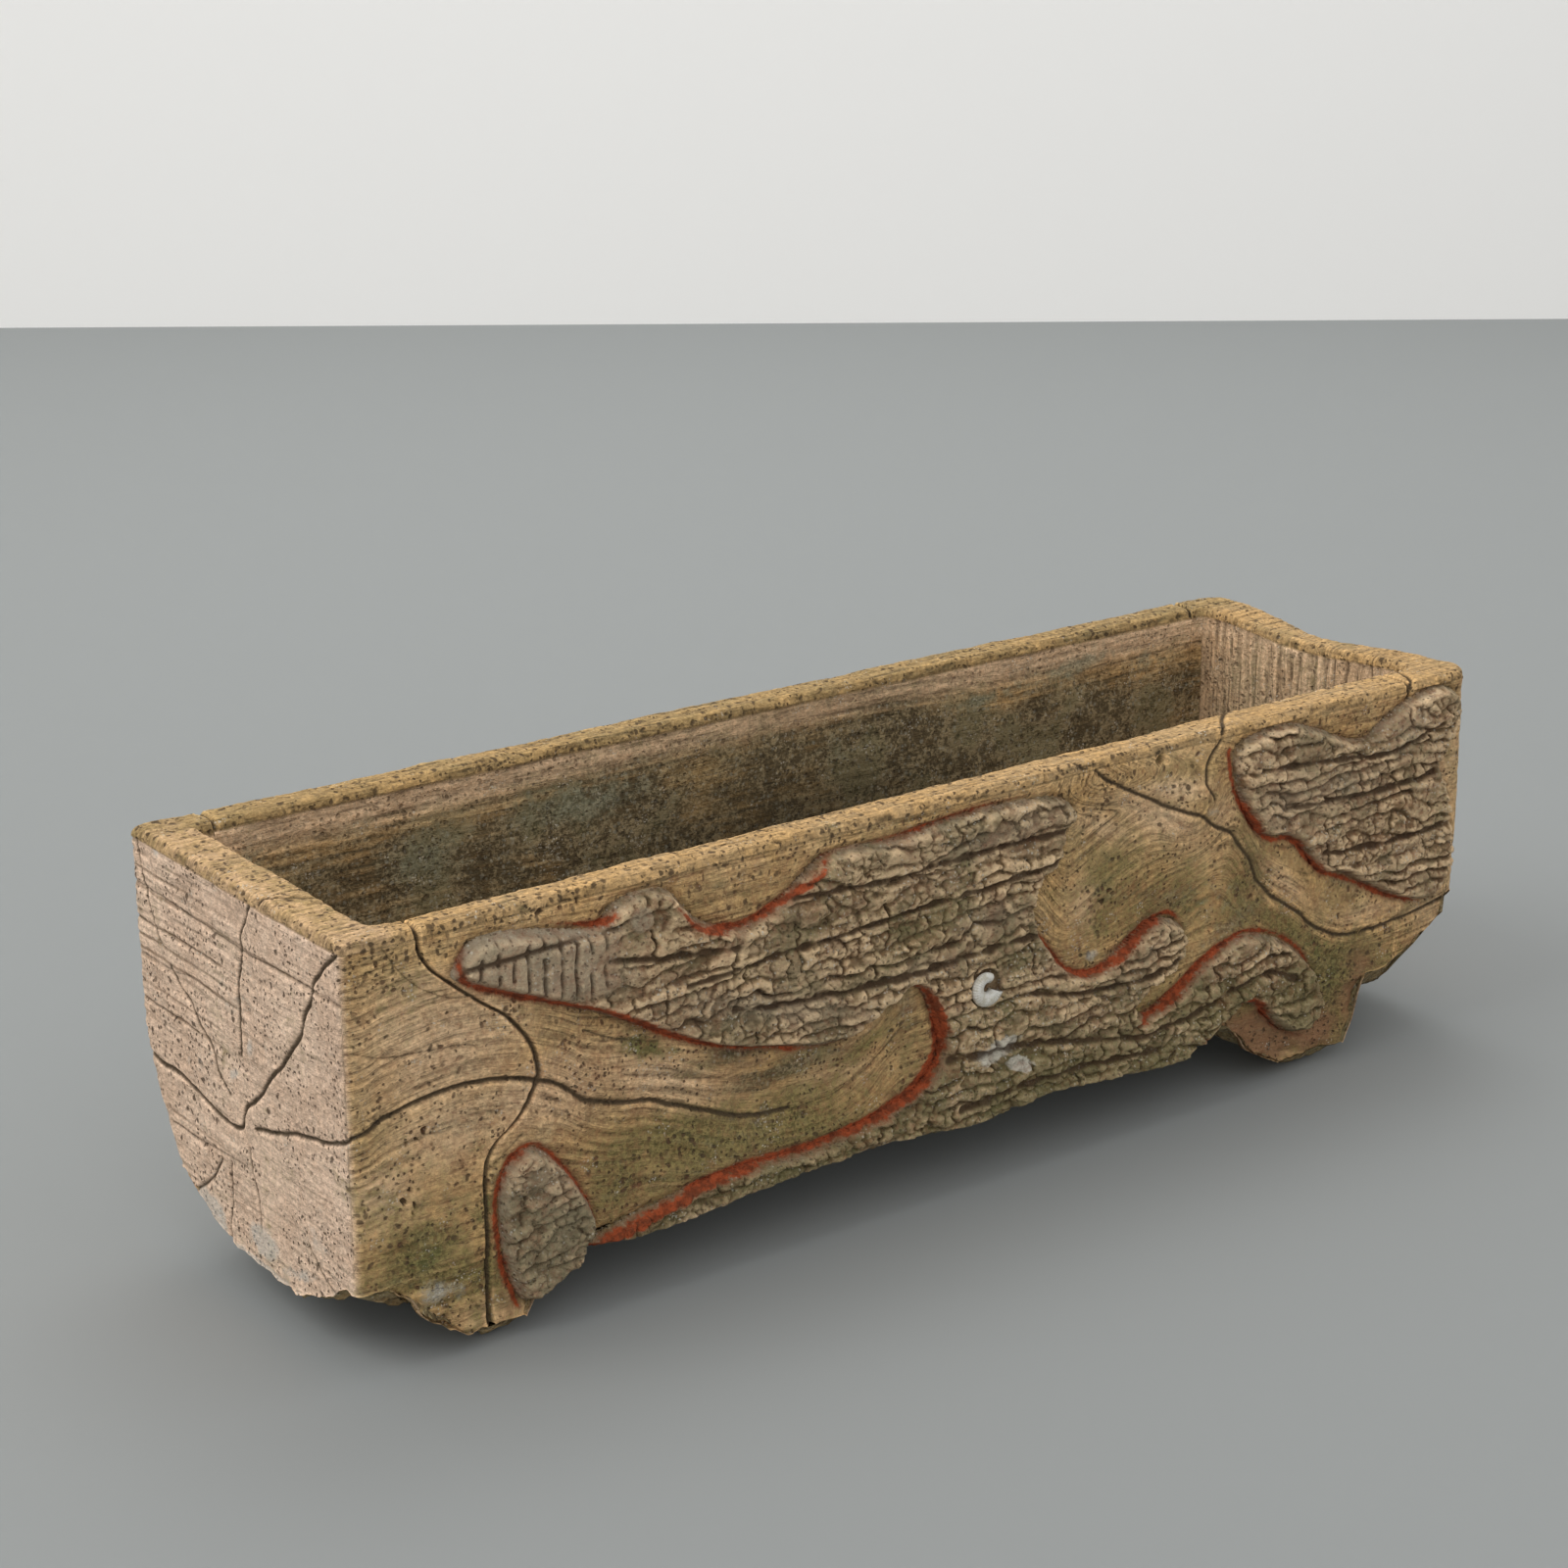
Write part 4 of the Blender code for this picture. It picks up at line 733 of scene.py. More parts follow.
def long_station(face, place):
    """A station on a long wall, at an x that may depend on the height and on the depth."""
    def plan(z, depth):
        x = place(z, depth)
        if face < 0:
            return x, front_y(x, depth)
        return x, back_y(np.maximum(z, FLOOR_UNDER), depth)
    x = float(place(np.zeros(1), None)[0])
    hem = hem_height("front" if face < 0 else "back", (x - LEFT_X) / LENGTH)
    return Station(plan, hem, sole=sole_height(x, hem))


def end_station(side, share):
    """A station on an end's straight run, from front to back."""
    def plan(z, depth):
        x = end_x(side, z, depth)
        radius = corner_radius(side, depth)
        front = front_y(x, depth) + radius
        back = back_y(z, depth) - radius
        y = front + (back - front) * share
        if depth is None and side > 0:
            x = x - FLUTE_DEPTH * bell(y, FLUTE_WIDTH) * np.clip(z / HEIGHT, 0, 1)
        return x, y
    rim = HEIGHT - (RIM_DIP * math.sin(math.pi * share) ** 2 if side > 0 else 0)
    return Station(plan, hem_height("left" if side < 0 else "right", share), rim)


def corner_station(side, face, turn):
    """A station on a corner's round, from the long face to the end."""
    def plan(z, depth):
        radius = corner_radius(side, depth)
        x = end_x(side, z, depth)
        y = front_y(x, depth) if face < 0 else back_y(z, depth)
        return (x - side * radius * (1 - math.sin(turn)), y - face * radius * (1 - math.cos(turn)))
    return Station(plan, hem_height("front" if face < 0 else "back", 0 if side < 0 else 1))


def return_stations(side, face, count):
    """The stations of an end piece from its joint to the corner."""
    found = []
    for step in range(count):
        def place(z, depth, share=step / count):
            corner = end_x(side, z, depth) - side * corner_radius(side, depth)
            start = joint_x(side, face, z) + side * GAP / 2
            return start + (corner - start) * share
        found.append(long_station(face, place))
    return found


def end_ring(side, front_count, straight_count, back_count):
    """All stations of an end piece, from its front joint round to its back joint."""
    turns = np.linspace(0, math.pi / 2, LEFT_CORNER_STEPS if side < 0 else RIGHT_CORNER_STEPS)
    front = return_stations(side, -1, front_count) + [corner_station(side, -1, turn) for turn in turns]
    back = return_stations(side, 1, back_count) + [corner_station(side, 1, turn) for turn in turns]
    straight = [end_station(side, step / straight_count) for step in range(1, straight_count)]
    return front + straight + back[::-1]


def long_ring(face, count):
    """All stations of a long wall, from its left joint to its right joint."""
    found = []
    for step in range(count + 1):
        def place(z, depth, share=step / count):
            start = joint_x(-1, face, z) + GAP / 2
            end = joint_x(1, face, z) - GAP / 2
            return start + (end - start) * share
        found.append(long_station(face, place))
    return found


# ---------- weathering: how far each point sinks, and the masks that colour it ----------

OUTER, RIM, INNER, UNDER = range(4)
LEFT_GRAIN = np.divide(FRONT_CRACKS[0][1] + FRONT_CRACKS[1][1][1:], 1000)
RIGHT_GRAIN = np.divide(FRONT_CRACKS[2][1], 1000)


def front_grain(x, z):
    """Height across the grain of the front, which runs along with the long cracks and round the knot."""
    rising = smooth(0.05, 0.09, x) * smooth(0.27, 0.21, x) * smooth(0.14, 0.18, z) * smooth(0.285, 0.25, z)
    total = z - 0.45 * (x - 0.16) * rising
    for line, level, window in (
        (LEFT_GRAIN, 0.140, smooth(-0.03, -0.10, x)),
        (RIGHT_GRAIN, 0.190, smooth(0.06, 0.12, x) * (1 - rising)),
    ):
        guide = np.interp(x, line[:, 0], line[:, 1])
        total -= (guide - level) * bell(z - guide, 0.07) * window
    away = np.hypot(x - KNOT[0], z - KNOT[1])
    near = bell(away, 0.028)
    return total * (1 - near) + (KNOT[1] + away) * near


def rings_of(stations, counts):
    """The walls' base points, their outward normals and the zone of each row."""
    rings = np.array([station.ring(counts) for station in stations])
    outer_rows, round_rows, top_rows, inner_rows, under_rows = counts
    rim_rows = 2 * (round_rows + 1) + top_rows - 1
    zone = np.repeat((OUTER, RIM, INNER, UNDER), (outer_rows, rim_rows, inner_rows, under_rows))
    along = np.gradient(rings, axis=0)
    loop = rings[:, :-1]
    up = np.roll(loop, -1, axis=1) - np.roll(loop, 1, axis=1)
    up = np.concatenate((up, up[:, :1]), axis=1)
    normals = np.cross(along, up)
    normals /= np.maximum(np.linalg.norm(normals, axis=2), 1e-12)[:, :, None]
    middle = len(rings) // 2
    outwards = rings[middle, outer_rows // 2] - rings[middle, outer_rows + rim_rows + inner_rows // 2]
    if normals[middle, outer_rows // 2] @ outwards < 0:
        normals = -normals
    return rings, normals, np.broadcast_to(zone, rings.shape[:2])


class Surface:
    """The points of a cement wall, and how much each of them faces each way, from 0 to 1."""

    def __init__(self, points, normals, zone):
        self.points = points
        self.normals = normals
        self.places = points[:, (0, 2)]
        self.outer = zone == OUTER
        self.front, self.back, self.left, self.right = (
            np.where(self.outer, np.clip(way * normals[:, axis], 0, 1) ** 2, 0)
            for axis, way in ((1, -1), (1, 1), (0, -1), (0, 1)))
        self.ends = self.left + self.right
        self.top = np.where(zone == RIM, 1.0, 0.0)
        self.edge = self.top * (1 - smooth(0.55, 0.95, normals[:, 2]))
        self.inside = np.where(zone == INNER, 1.0, 0.0)
        self.end_inside = self.inside * (np.abs(normals[:, 0]) > 0.7)
        self.under = zone == UNDER


def grain_of(at):
    """Where every point lies along the grain and across it."""
    x, y, z = at.points.T
    across = z + 0.012 * swell(at.points * 3, 41)
    across = np.where(at.front > 0.3, front_grain(x, z), across)
    across = np.where(at.top > 0, y + 0.004 * swell(at.points * 4, 42), across)
    across = np.where(at.end_inside > 0, y + 0.006 * swell(at.points * 6, 43), across)
    along = np.where(at.left > 0.5, LEFT_X - (y - FRONT_Y), x)
    along = np.where(at.right > 0.5, RIGHT_X + (y - FRONT_Y), along)
    return np.where(at.end_inside > 0, z, along), across


def bed_of(places, facing, outlines, groove_depth, bed_depth):
    """How far a wall sinks under its bark and in a groove round it, and how far inside the bark places lie."""
    near = facing > 0.3
    inside = np.full(len(places), -1.0)
    for outline in outlines.values():
        inside[near] = np.maximum(inside[near], depth_inside(places[near], outline, 0.03))
    groove = np.where(inside > 0, 1, bell(inside, BED_GROOVE))
    return facing * (groove_depth * groove + bed_depth * smooth(0, 0.006, inside)), inside


def sunk(at, along, across, settings):
    """How far every point of a cement wall sinks into it, in metres, and the masks of its painted shade (by the bark's
    bed and deep inside), pits and saw lines.
    """
    points = at.points
    x, y, z = points.T

    # Hollows of many sizes, ridges and lines of grain, pores and pits
    sink = 0.0014 + 0.0008 * rough(points * 14, 2, 3) + 0.0005 * rough(points * 60, 2, 9)
    sink += 0.0003 * swell(points * 220, 5)
    combed = at.front + at.top * 0.6 + at.back + at.inside * 0.9 + at.end_inside * 0.5 + 0.35 * at.ends
    sink += settings.grain_depth * flat_noise(along, across, 9, 110, 2, seed=2) * combed
    lines = bell(flat_noise(along, across, 6, 125, seed=16), 0.16)
    lines *= 0.25 + 0.75 * smooth(-0.4, 0.3, swell(points * (13, 13, 21), 17))
    sink += GRAIN_LINE_DEPTH * lines * combed
    pores = smooth(0.42, 0.85, swell(points * 190, 25)) * (0.4 + 0.6 * smooth(-0.3, 0.4, swell(points * 17, 26)))
    sink += PORE_DEPTH * pores * (at.top + 0.55 * at.front + 0.45 * at.ends + 0.4 * at.inside)
    clustered = at.front * spots(at.places, PIT_CLUSTERS)
    holes = smooth(0.18, 0.50, swell(points * 230, 33)) * smooth(0.25, 0.75, clustered)
    sink += PIT_DEPTH * holes

    # Rim: chips and waves of its edges
    chips = smooth(0.35, 0.9, swell(points * 45, 12)) + 0.6 * smooth(0.4, 0.9, swell(points * 110, 13))
    sink += at.edge * (0.0026 * chips + 0.0012 * rough(points * 24, 2, 14) + 0.0006)

    # Front: band under the rim, swells, bed of the bark, knot. Back: bed of the bark
    sink += BAND_DEPTH * (bell(z - RIM_BAND_HEIGHT, 0.010) * at.front * (0.7 + 0.5 * swell(points * 12, 15)))
    for *shape, height in FRONT_SWELLS:
        sink -= at.front * height / 1000 * oval(at.places, *shape)
    bed_sink, bed = bed_of(at.places, at.front, FRONT_OUTLINES, 0.0024, 0.0012)
    sink += bed_sink + bed_of(at.places, at.back, BACK_OUTLINES, 0.0020, 0.0014)[0]
    away = np.hypot(x - KNOT[0], z - KNOT[1])
    turn = np.arctan2(z - KNOT[1], x - KNOT[0])
    rings = np.cos(2 * math.pi * away / 0.0065) * bell(away, 0.026) * (0.5 + 0.5 * np.cos(turn + 0.4))
    sink += at.front * KNOT_RING_DEPTH * rings
    sink += at.front * KNOT_HOLE_DEPTH * (1 - smooth(0.002, 0.0055, np.hypot(x - KNOT_HOLE[0], z - KNOT_HOLE[1])))

    # Ends: saw lines and worn hollows. Underside, hem and inside: rough
    level = z + 0.0012 * swell(np.column_stack((y * 14, z * 30, 0 * y)), 27)
    backwards = smooth(-0.04, 0.06, y + 0.02 * swell(points * (20, 20, 60), 28))
    saw = np.zeros(len(z))
    for line_z, at_front, at_back in np.divide(SAW_LINES, (1000, 10, 10)):
        saw = np.maximum(saw, (at_front + (at_back - at_front) * backwards) * bell(level - line_z, 0.0013))
    saw *= np.maximum(at.left, at.right) * (0.6 + 0.4 * smooth(-0.5, 0.3, swell(points * (30, 30, 120), 29)))
    sink += SAW_DEPTH * saw
    sink += at.left * 0.0012 * smooth(0.2, 0.8, swell(points * (30, 30, 60), 21))
    sink += at.left * 0.0014 * smooth(0.1, 0.9, swell(points * 16, 22)) * smooth(0.12, 0.04, z)
    hem = at.under | (at.outer & (z < 0.062) & (at.front + at.back > 0.2))
    sink += hem * HEM_WEAR * (1 + rough(points * 60, 2, 23)) * smooth(0.080, 0.05, z)
    sink += at.inside * 0.0008 * (1 + rough(points * 26, 2, 24))

    # Painted shade: in the bed beside the front's bark, and low in the middle of the inside
    shaded = np.clip(at.front * bell(np.minimum(bed, 0), 0.006), 0, 1)
    shaded += at.inside * 1.7 * bell(x - 0.05, 0.15) * smooth(0.250, 0.205, z)
    return sink, {"bed": shaded, "holes": holes, "saw": saw}


def wall_masks(at, along, across):
    """The masks that colour a cement wall, apart from those of its bed, pits, saw lines, joints and cracks."""
    x, y, z = at.points.T
    patches = swell(at.points * 11, 31) + 0.5 * swell(at.points * 40, 32)
    stain = spots(at.places, FRONT_STAINS) * (0.85 + 0.3 * patches) + 0.35 * smooth(0.11, 0.05, z)
    moss = at.front * np.clip(stain, 0, 1)
    moss += at.ends * np.clip(0.15 + 0.35 * patches, 0, 1) * smooth(0.24, 0.03, z)
    moss += at.back * np.clip(0.45 + 0.5 * patches, 0, 1) * smooth(0.28, 0.12, z) + 0.5 * at.under
    # Inside: soil stain that grows deeper down, also painted shade there
    depth_in = smooth(0.296, 0.215 + 0.040 * bell(x - 0.04, 0.24), z)
    soil_and_shade = at.inside * np.clip(depth_in * (0.9 + 0.5 * patches), 0, 1) * np.where(at.end_inside > 0, 0.35, 1)
    clean = spots(at.places, FRONT_CLEAN)
    dirt = at.front * (0.75 - 0.85 * clean + 0.35 * patches) + at.back * 0.6
    dirt += at.top * np.maximum(0.80 * smooth(0.09, 0.12, y), 0.30 * smooth(0.44, 0.47, np.abs(x)))
    # Inside, darker in the middle and less near its top: dirt and painted shade
    dirt += at.inside * 0.8 * bell(x - 0.02, 0.25) * (1 - 0.5 * smooth(0.262, 0.282, z))
    pale_ends = 0.4 * at.top * smooth(-0.455, -0.475, x) + 0.5 * at.end_inside * (x > 0)
    paler = 0.40 * at.front * clean * smooth(0.280, 0.262, z) + 0.55 * at.inside * smooth(0.258, 0.280, z)
    worn = spots(at.points[:, 1:], LEFT_LIME) * (at.left + 0.5 * at.right)
    return {
        "flow": np.column_stack((along, across, z)),
        "rim": at.top,
        "inside": at.inside,
        "ends": np.maximum.reduce((at.left, at.right, pale_ends, np.clip(paler, 0, 1))),
        "band": np.clip(at.front * bell(z - 0.281, 0.011) + 0.5 * at.edge, 0, 1),
        "moss": moss,
        "dirt": dirt,
        "soil_and_shade": np.maximum.reduce((soil_and_shade, 0.6 * at.under, at.front * spots(at.places, FRONT_SOIL))),
        "lichen": at.inside * spots(at.places, INSIDE_LICHEN),
        "green": at.front * spots(at.places, FRONT_GREEN),
        "red": at.front * spots(at.places, FRONT_RED),
        "lime": np.maximum.reduce((
            at.front * spots(at.places, FRONT_LIME), at.left * 0.35 * smooth(0.25, 0.8, patches), worn)),
        "paint": np.maximum(np.where(at.front > 0.3, paint_at(at.places, PAINT_LINES), -1),
                            np.where(at.back > 0.5, paint_at(at.places, BACK_PAINT_LINES), -1)),
    }


def snapped_cracks(at, cell, depth):
    """Moves the points next to each crack onto it. Gives the points, how deep they go, the crack and its halo."""
    points = at.points.copy()
    deep, mask, halo = np.zeros((3, len(points)))
    for cracks, axes, shown in (
        (FRONT_CRACKS, (0, 2), at.outer & (at.normals[:, 1] < -0.7)),
        (LEFT_CRACKS, (1, 2), at.outer & (at.normals[:, 0] < -0.7)),
        (RIM_CRACKS, (0, 1), (at.top > 0) & (at.normals[:, 2] > 0.3)),
    ):
        chosen = np.flatnonzero(shown)
        for number, (share, line) in enumerate(cracks):
            path = curve_through(np.divide(line, 1000), 4)
            wander = swell(np.column_stack((path * 55, np.full(len(path), number))), 51)
            near, gap, _ = nearest_on(points[np.ix_(chosen, axes)], path + 0.0012 * wander[:, None], 0.01)
            hit = gap < cell * 0.55
            rows = chosen[hit]
            points[np.ix_(rows, axes)] = near[hit]
            deep[rows] = np.maximum(deep[rows], depth * share)
            mask[rows] = np.maximum(mask[rows], 0.45 + 0.55 * share)
            for total, found in (
                (deep, depth * share * np.where(hit, 0, bell(gap, cell * 0.95))),
                (mask, (0.3 + 0.7 * share) * bell(gap, cell * (0.75 + 0.75 * share))),
                (halo, share * bell(gap, 0.006)),
            ):
                total[chosen] = np.maximum(total[chosen], found)
    return points, deep, mask, halo


# ---------- meshes ----------

def deselect():
    if bpy.context.mode != "OBJECT":
        bpy.ops.object.mode_set(mode="OBJECT")
    bpy.ops.object.select_all(action="DESELECT")


def new_grid(name, columns, rows):
    """A flat grid, with the column and row of each of its vertices."""
    deselect()
    bpy.ops.mesh.primitive_grid_add(x_subdivisions=columns - 1, y_subdivisions=rows - 1, size=2)
    piece = bpy.context.object
    piece.name = name
    piece.data.name = name
    flat = np.zeros(len(piece.data.vertices) * 3)
    piece.data.vertices.foreach_get("co", flat)
    flat = flat.reshape(-1, 3)
    if len(flat) != columns * rows:
        raise RuntimeError(f"{name}: the grid has {len(flat)} vertices, not {columns * rows}")
    column = np.rint((flat[:, 0] + 1) / 2 * (columns - 1)).astype(int)
    row = np.rint((flat[:, 1] + 1) / 2 * (rows - 1)).astype(int)
    return piece, column, row


def place(piece, points):
    piece.data.vertices.foreach_set("co", np.asarray(points, np.float32).ravel())
    piece.data.update()


def keep_masks(piece, masks):
    """Keeps values on the vertices for the materials: one number each, or three for a direction."""
    for name, values in masks.items():
        if values.ndim == 2:
            layer = piece.data.attributes.new(name, "FLOAT_VECTOR", "POINT")
            layer.data.foreach_set("vector", np.asarray(values, np.float32).ravel())
        else:
            layer = piece.data.attributes.new(name, "FLOAT", "POINT")
            layer.data.foreach_set("value", np.asarray(values, np.float32))


def select_vertices(piece, chosen):
    """Goes to edit mode with only the chosen vertices, and the edges between them, selected."""
    deselect()
    bpy.context.view_layer.objects.active = piece
    piece.select_set(True)
    bpy.ops.object.mode_set(mode="EDIT")
    bpy.ops.mesh.select_mode(type="VERT")
    bpy.ops.mesh.select_all(action="DESELECT")
    bpy.ops.object.mode_set(mode="OBJECT")
    piece.data.vertices.foreach_set("select", chosen)
    bpy.ops.object.mode_set(mode="EDIT")
    bpy.ops.mesh.select_mode(type="VERT")


def numbers(piece, name):
    values = np.zeros(len(piece.data.vertices))
    piece.data.attributes[name].data.foreach_get("value", values)
    return values


def face_outwards():
    """Ends the work in edit mode: short diagonals, so that cracks run on, and faces that point out."""
    bpy.ops.mesh.select_all(action="SELECT")
    bpy.ops.mesh.quads_convert_to_tris(quad_method="SHORTEST_DIAGONAL")
    bpy.ops.mesh.normals_make_consistent(inside=False)
    bpy.ops.object.mode_set(mode="OBJECT")
    bpy.ops.object.shade_smooth()


def finish_piece(piece, finish, node):
    """Gives a piece its material, puts it under the root, and hides the solid that it stands for."""
    piece.data.materials.clear()
    piece.data.materials.append(finish)
    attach(piece, "root")
    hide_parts(node)


def inside_box(points):
    return np.clip(points, (LEFT_X, -DEPTH / 2, 0), (RIGHT_X, DEPTH / 2, HEIGHT))


def hollow_mask(depths, column, row, reach, full):
    """How far each point of a grid lies below the mean round it, from -1 to 1 at the full depth."""
    grid = np.zeros((column.max() + 1, row.max() + 1))
    grid[column, row] = depths
    mean = grid
    for axis in (0, 1):
        mean = sum(np.roll(mean, step, axis) for step in range(-reach, reach + 1)) / (2 * reach + 1)
    return np.clip((grid - mean) / full, -1, 1)[column, row]


def wall_piece(name, stations, counts, settings):
    """One cement wall or end: a dense skin, weathered and cracked, closed at its joints."""
    rings, normals, zones = rings_of(stations, counts)
    columns, rows = rings.shape[:2]
    piece, column, row = new_grid(name, columns, rows)
    at = Surface(rings[column, row], normals[column, row], zones[column, row])
    grain = grain_of(at)
    sink, masks = sunk(at, *grain, settings)
    masks.update(wall_masks(at, *grain))
    points, deep, crack, halo = snapped_cracks(at, FINE_CELL * COARSER, settings.crack_depth)

    # Both sides of a joint fall away to a groove, but for the foot of the front's right one, which doesn't show
    shut = (points[:, 0] > 0.4) & (points[:, 1] < 0) & (points[:, 2] < 0.14)
    grooved = (at.outer | (at.top > 0)) & ~shut
    for steps, depth, dark in JOINT_GROOVE:
        at_joint = grooved & ((column == steps) | (column == columns - 1 - steps))
        deep = np.where(at_joint, np.maximum(deep, depth), deep)
        crack = np.where(at_joint, np.maximum(crack, dark), crack)
    total = np.clip(sink + deep, -PROUDEST, DEEPEST)
    masks["crack"] = crack
    masks["halo"] = halo
    masks["joint"] = np.where(column == 0, 1.0, np.where(column == columns - 1, 2.0, 0.0))
    # How far each point lies below those round it; the material darkens it as painted shade
    masks["hollow"] = hollow_mask(total, column, row, 2, 0.0011)
    place(piece, inside_box(points - at.normals * total[:, None]))
    keep_masks(piece, masks)
    select_vertices(piece, np.ones(len(points), bool))
    bpy.ops.mesh.remove_doubles(threshold=1e-6)
    for side in (1, 2):
        bpy.ops.object.mode_set(mode="OBJECT")
        select_vertices(piece, numbers(piece, "joint") == side)
        bpy.ops.mesh.fill(use_beauty=True)
    face_outwards()
    return piece


def bark_height(x, z, depth, face):
    """How far bark stands proud of its wall, in metres, how deep in a fissure places are, and their plate's tone."""
    wave = functools.partial(flat_noise, x, z)
    sloping = -0.15 * np.minimum(x + 0.20, 0) - 0.06 * np.clip(x - 0.08, 0, 0.12)
    rise = (z + sloping) / BARK_LAYER + 0.9 * wave(7, 17, 2, seed=6)
    rise += 0.46 * wave(34, 30, 2, seed=7) + 0.13 * wave(160, 70, seed=18)

    # Layers, and blocks along each of them, with cracks between
    layer = np.floor(rise)
    part = rise - layer
    layer_key = SHUFFLE[(layer.astype(int) * 7 + 11 * (face > 0)) % 256]
    span = 0.010 + 0.042 * MARKS[layer_key] ** 1.3
    slant = x + 0.0045 * wave(60, 130, 2, seed=8) + 0.35 * (part - 0.5) * BARK_LAYER * (MARKS[layer_key] - 0.5)
    run = slant / span + SPOTS[layer_key, 0] * 9
    block = np.floor(run)
    place_in = run - block
    block_mark = MARKS[SHUFFLE[(layer_key + block.astype(int) * 13) % 256]]
    nearer = np.where(part < 0.5, layer, layer + 1).astype(int)
    level_strength = 0.45 + 0.55 * MARKS[SHUFFLE[(nearer * 5 + 3) % 256]]
    level_strength = level_strength * (0.2 + 0.8 * smooth(-0.45, 0.25, wave(24, 50, seed=12)))
    side_block = np.where(place_in < 0.5, block, block + 1).astype(int)
    cross_strength = 0.45 + 0.55 * MARKS[SHUFFLE[(layer_key + side_block * 29) % 256]]
    split = np.maximum(level_strength * bell(np.minimum(part, 1 - part) * BARK_LAYER, 0.0020),
                       cross_strength * bell(np.minimum(place_in, 1 - place_in) * span, 0.0013))
    fine_edge, fine_block = crazing(np.column_stack((x / 0.0105, z / 0.0062)) + 0.15 * rise[:, None], 62)
    fine_split = bell(fine_edge, 0.17) * smooth(-0.35, 0.25, wave(22, 22, seed=13))

    # Long furrows, and places where the surface is torn off
    ragged = 0.0022 * wave(75, 75, 2, seed=14)
    furrow = np.zeros(len(x))
    for shares in (FRONT_FURROW_SHARES if face < 0 else BACK_FURROW_SHARES):
        _, gap, _ = nearest_on(np.column_stack((x, z)), curve_through(metres(shares), 4), FURROW_WIDTH)
        furrow = np.maximum(furrow, 1 - smooth(0, FURROW_WIDTH * 0.55, gap + ragged))
    torn = smooth(0.25, 0.75, wave(38, 75, 2, seed=20))
    fissure = np.clip(np.maximum.reduce((split, 0.5 * fine_split, furrow, 0.55 * torn)), 0, 1)

    # Height, rolled over at some borders, and the slope down into the wall
    high = 0.0073 + 0.0042 * (block_mark - 0.5) * (1 - split) + 0.0010 * (1 - (2 * part - 1) ** 2)
    high += 0.0022 * (0.5 - part) + 0.0014 * (fine_block - 0.5) + 0.0012 * wave(20, 20, 2, seed=9)
    high += 0.0005 * wave(170, 170, 2, seed=10)
    high -= np.maximum(0.0042 * np.maximum(split, 0.4 * fine_split), furrow * (FURROW_DEPTH - 0.0004))
    high -= 0.0022 * torn
    rolled = smooth(0.0042, 0.0018, depth) * (0.10 + 0.5 * smooth(-0.1, 0.4, wave(15, 15, seed=15)))
    high = high * (1 - rolled) + (0.0070 - 0.45 * (0.0078 - np.minimum(high, 0.0078))) * rolled
    rise_to = smooth(-0.0012, 0.0042, depth + 0.0010 * wave(110, 110, 2, seed=11))
    slope = BARK_BURIED + (high - BARK_BURIED) * rise_to
    slope = np.where(depth < -0.0010, BARK_BURIED + (depth + 0.0010) * 1.2, slope)
    plate = 0.65 * block_mark + 0.35 * fine_block
    return np.minimum(slope, BARK_RELIEF), fissure * rise_to * (1 - 0.5 * rolled), plate


def bark_piece(name, outline, face):
    """One bark relief: a skin over its outline, sunk a little into the wall at its border."""
    low = outline.min(0) - 0.004
    high = outline.max(0) + 0.004
    step = BARK_CELL * COARSER
    columns, rows = (int(span / step) + 1 for span in high - low)
    piece, column, row = new_grid(name, columns, rows)
    x = low[0] + step * column
    z = low[1] + step * row
    places = np.column_stack((x, z))
    depth = depth_inside(places, outline, 0.03)
    height, fissure, plate = bark_height(x, z, depth, face)
    pale = 0.55 if name == "front_bark_foot" else 0.0
    if name == "front_bark_long":
        height, fissure, pale = long_bark_details(x, z, depth, height, fissure)
    patches = flat_noise(x, z, 18, 18, 2, seed=19)
    if face < 0:
        moss = np.clip(0.12 + 0.45 * patches + 0.75 * smooth(0.15, 0.06, z), 0, 1)
        moss += 0.55 * spots(places, BARK_STAINS)
        pale = np.maximum(pale, spots(places, BARK_PALE))
        lime = spots(places, FRONT_LIME) * (0.8 + 0.5 * patches)
    else:
        moss = 0.35 + 0.55 * patches
        pale = lime = np.zeros(len(x))
    wall_y = FRONT_Y if face < 0 else BACK_Y
    place(piece, inside_box(np.column_stack((x, wall_y + face * height, z))))
    keep_masks(piece, {
        "fissure": fissure,
        "plate": plate,
        "pale": pale,
        "lime": lime,
        "moss": np.clip(moss, 0, 1),
        "border": smooth(0.0050, 0.0020, depth),
        "paint": paint_at(places, PAINT_LINES if face < 0 else BACK_PAINT_LINES),
        # How far each point lies below those round it; painted shade in the material
        "hollow": hollow_mask(-height, column, row, 3, 0.0016),
    })
    select_vertices(piece, depth < BARK_TRIM)
    bpy.ops.mesh.delete(type="VERT")
    bpy.ops.mesh.select_all(action="SELECT")
    bpy.ops.mesh.delete_loose()
    bpy.ops.mesh.select_all(action="DESELECT")
    bpy.ops.mesh.select_non_manifold()
    bpy.ops.mesh.extrude_edges_move(TRANSFORM_OT_translate={"value": (0, -face * 0.002, 0)})
    bpy.ops.transform.resize(value=(1, 0, 1), center_override=(0, wall_y - face * BARK_SEAT, 0))
    bpy.ops.mesh.fill(use_beauty=False)
    face_outwards()
    return piece


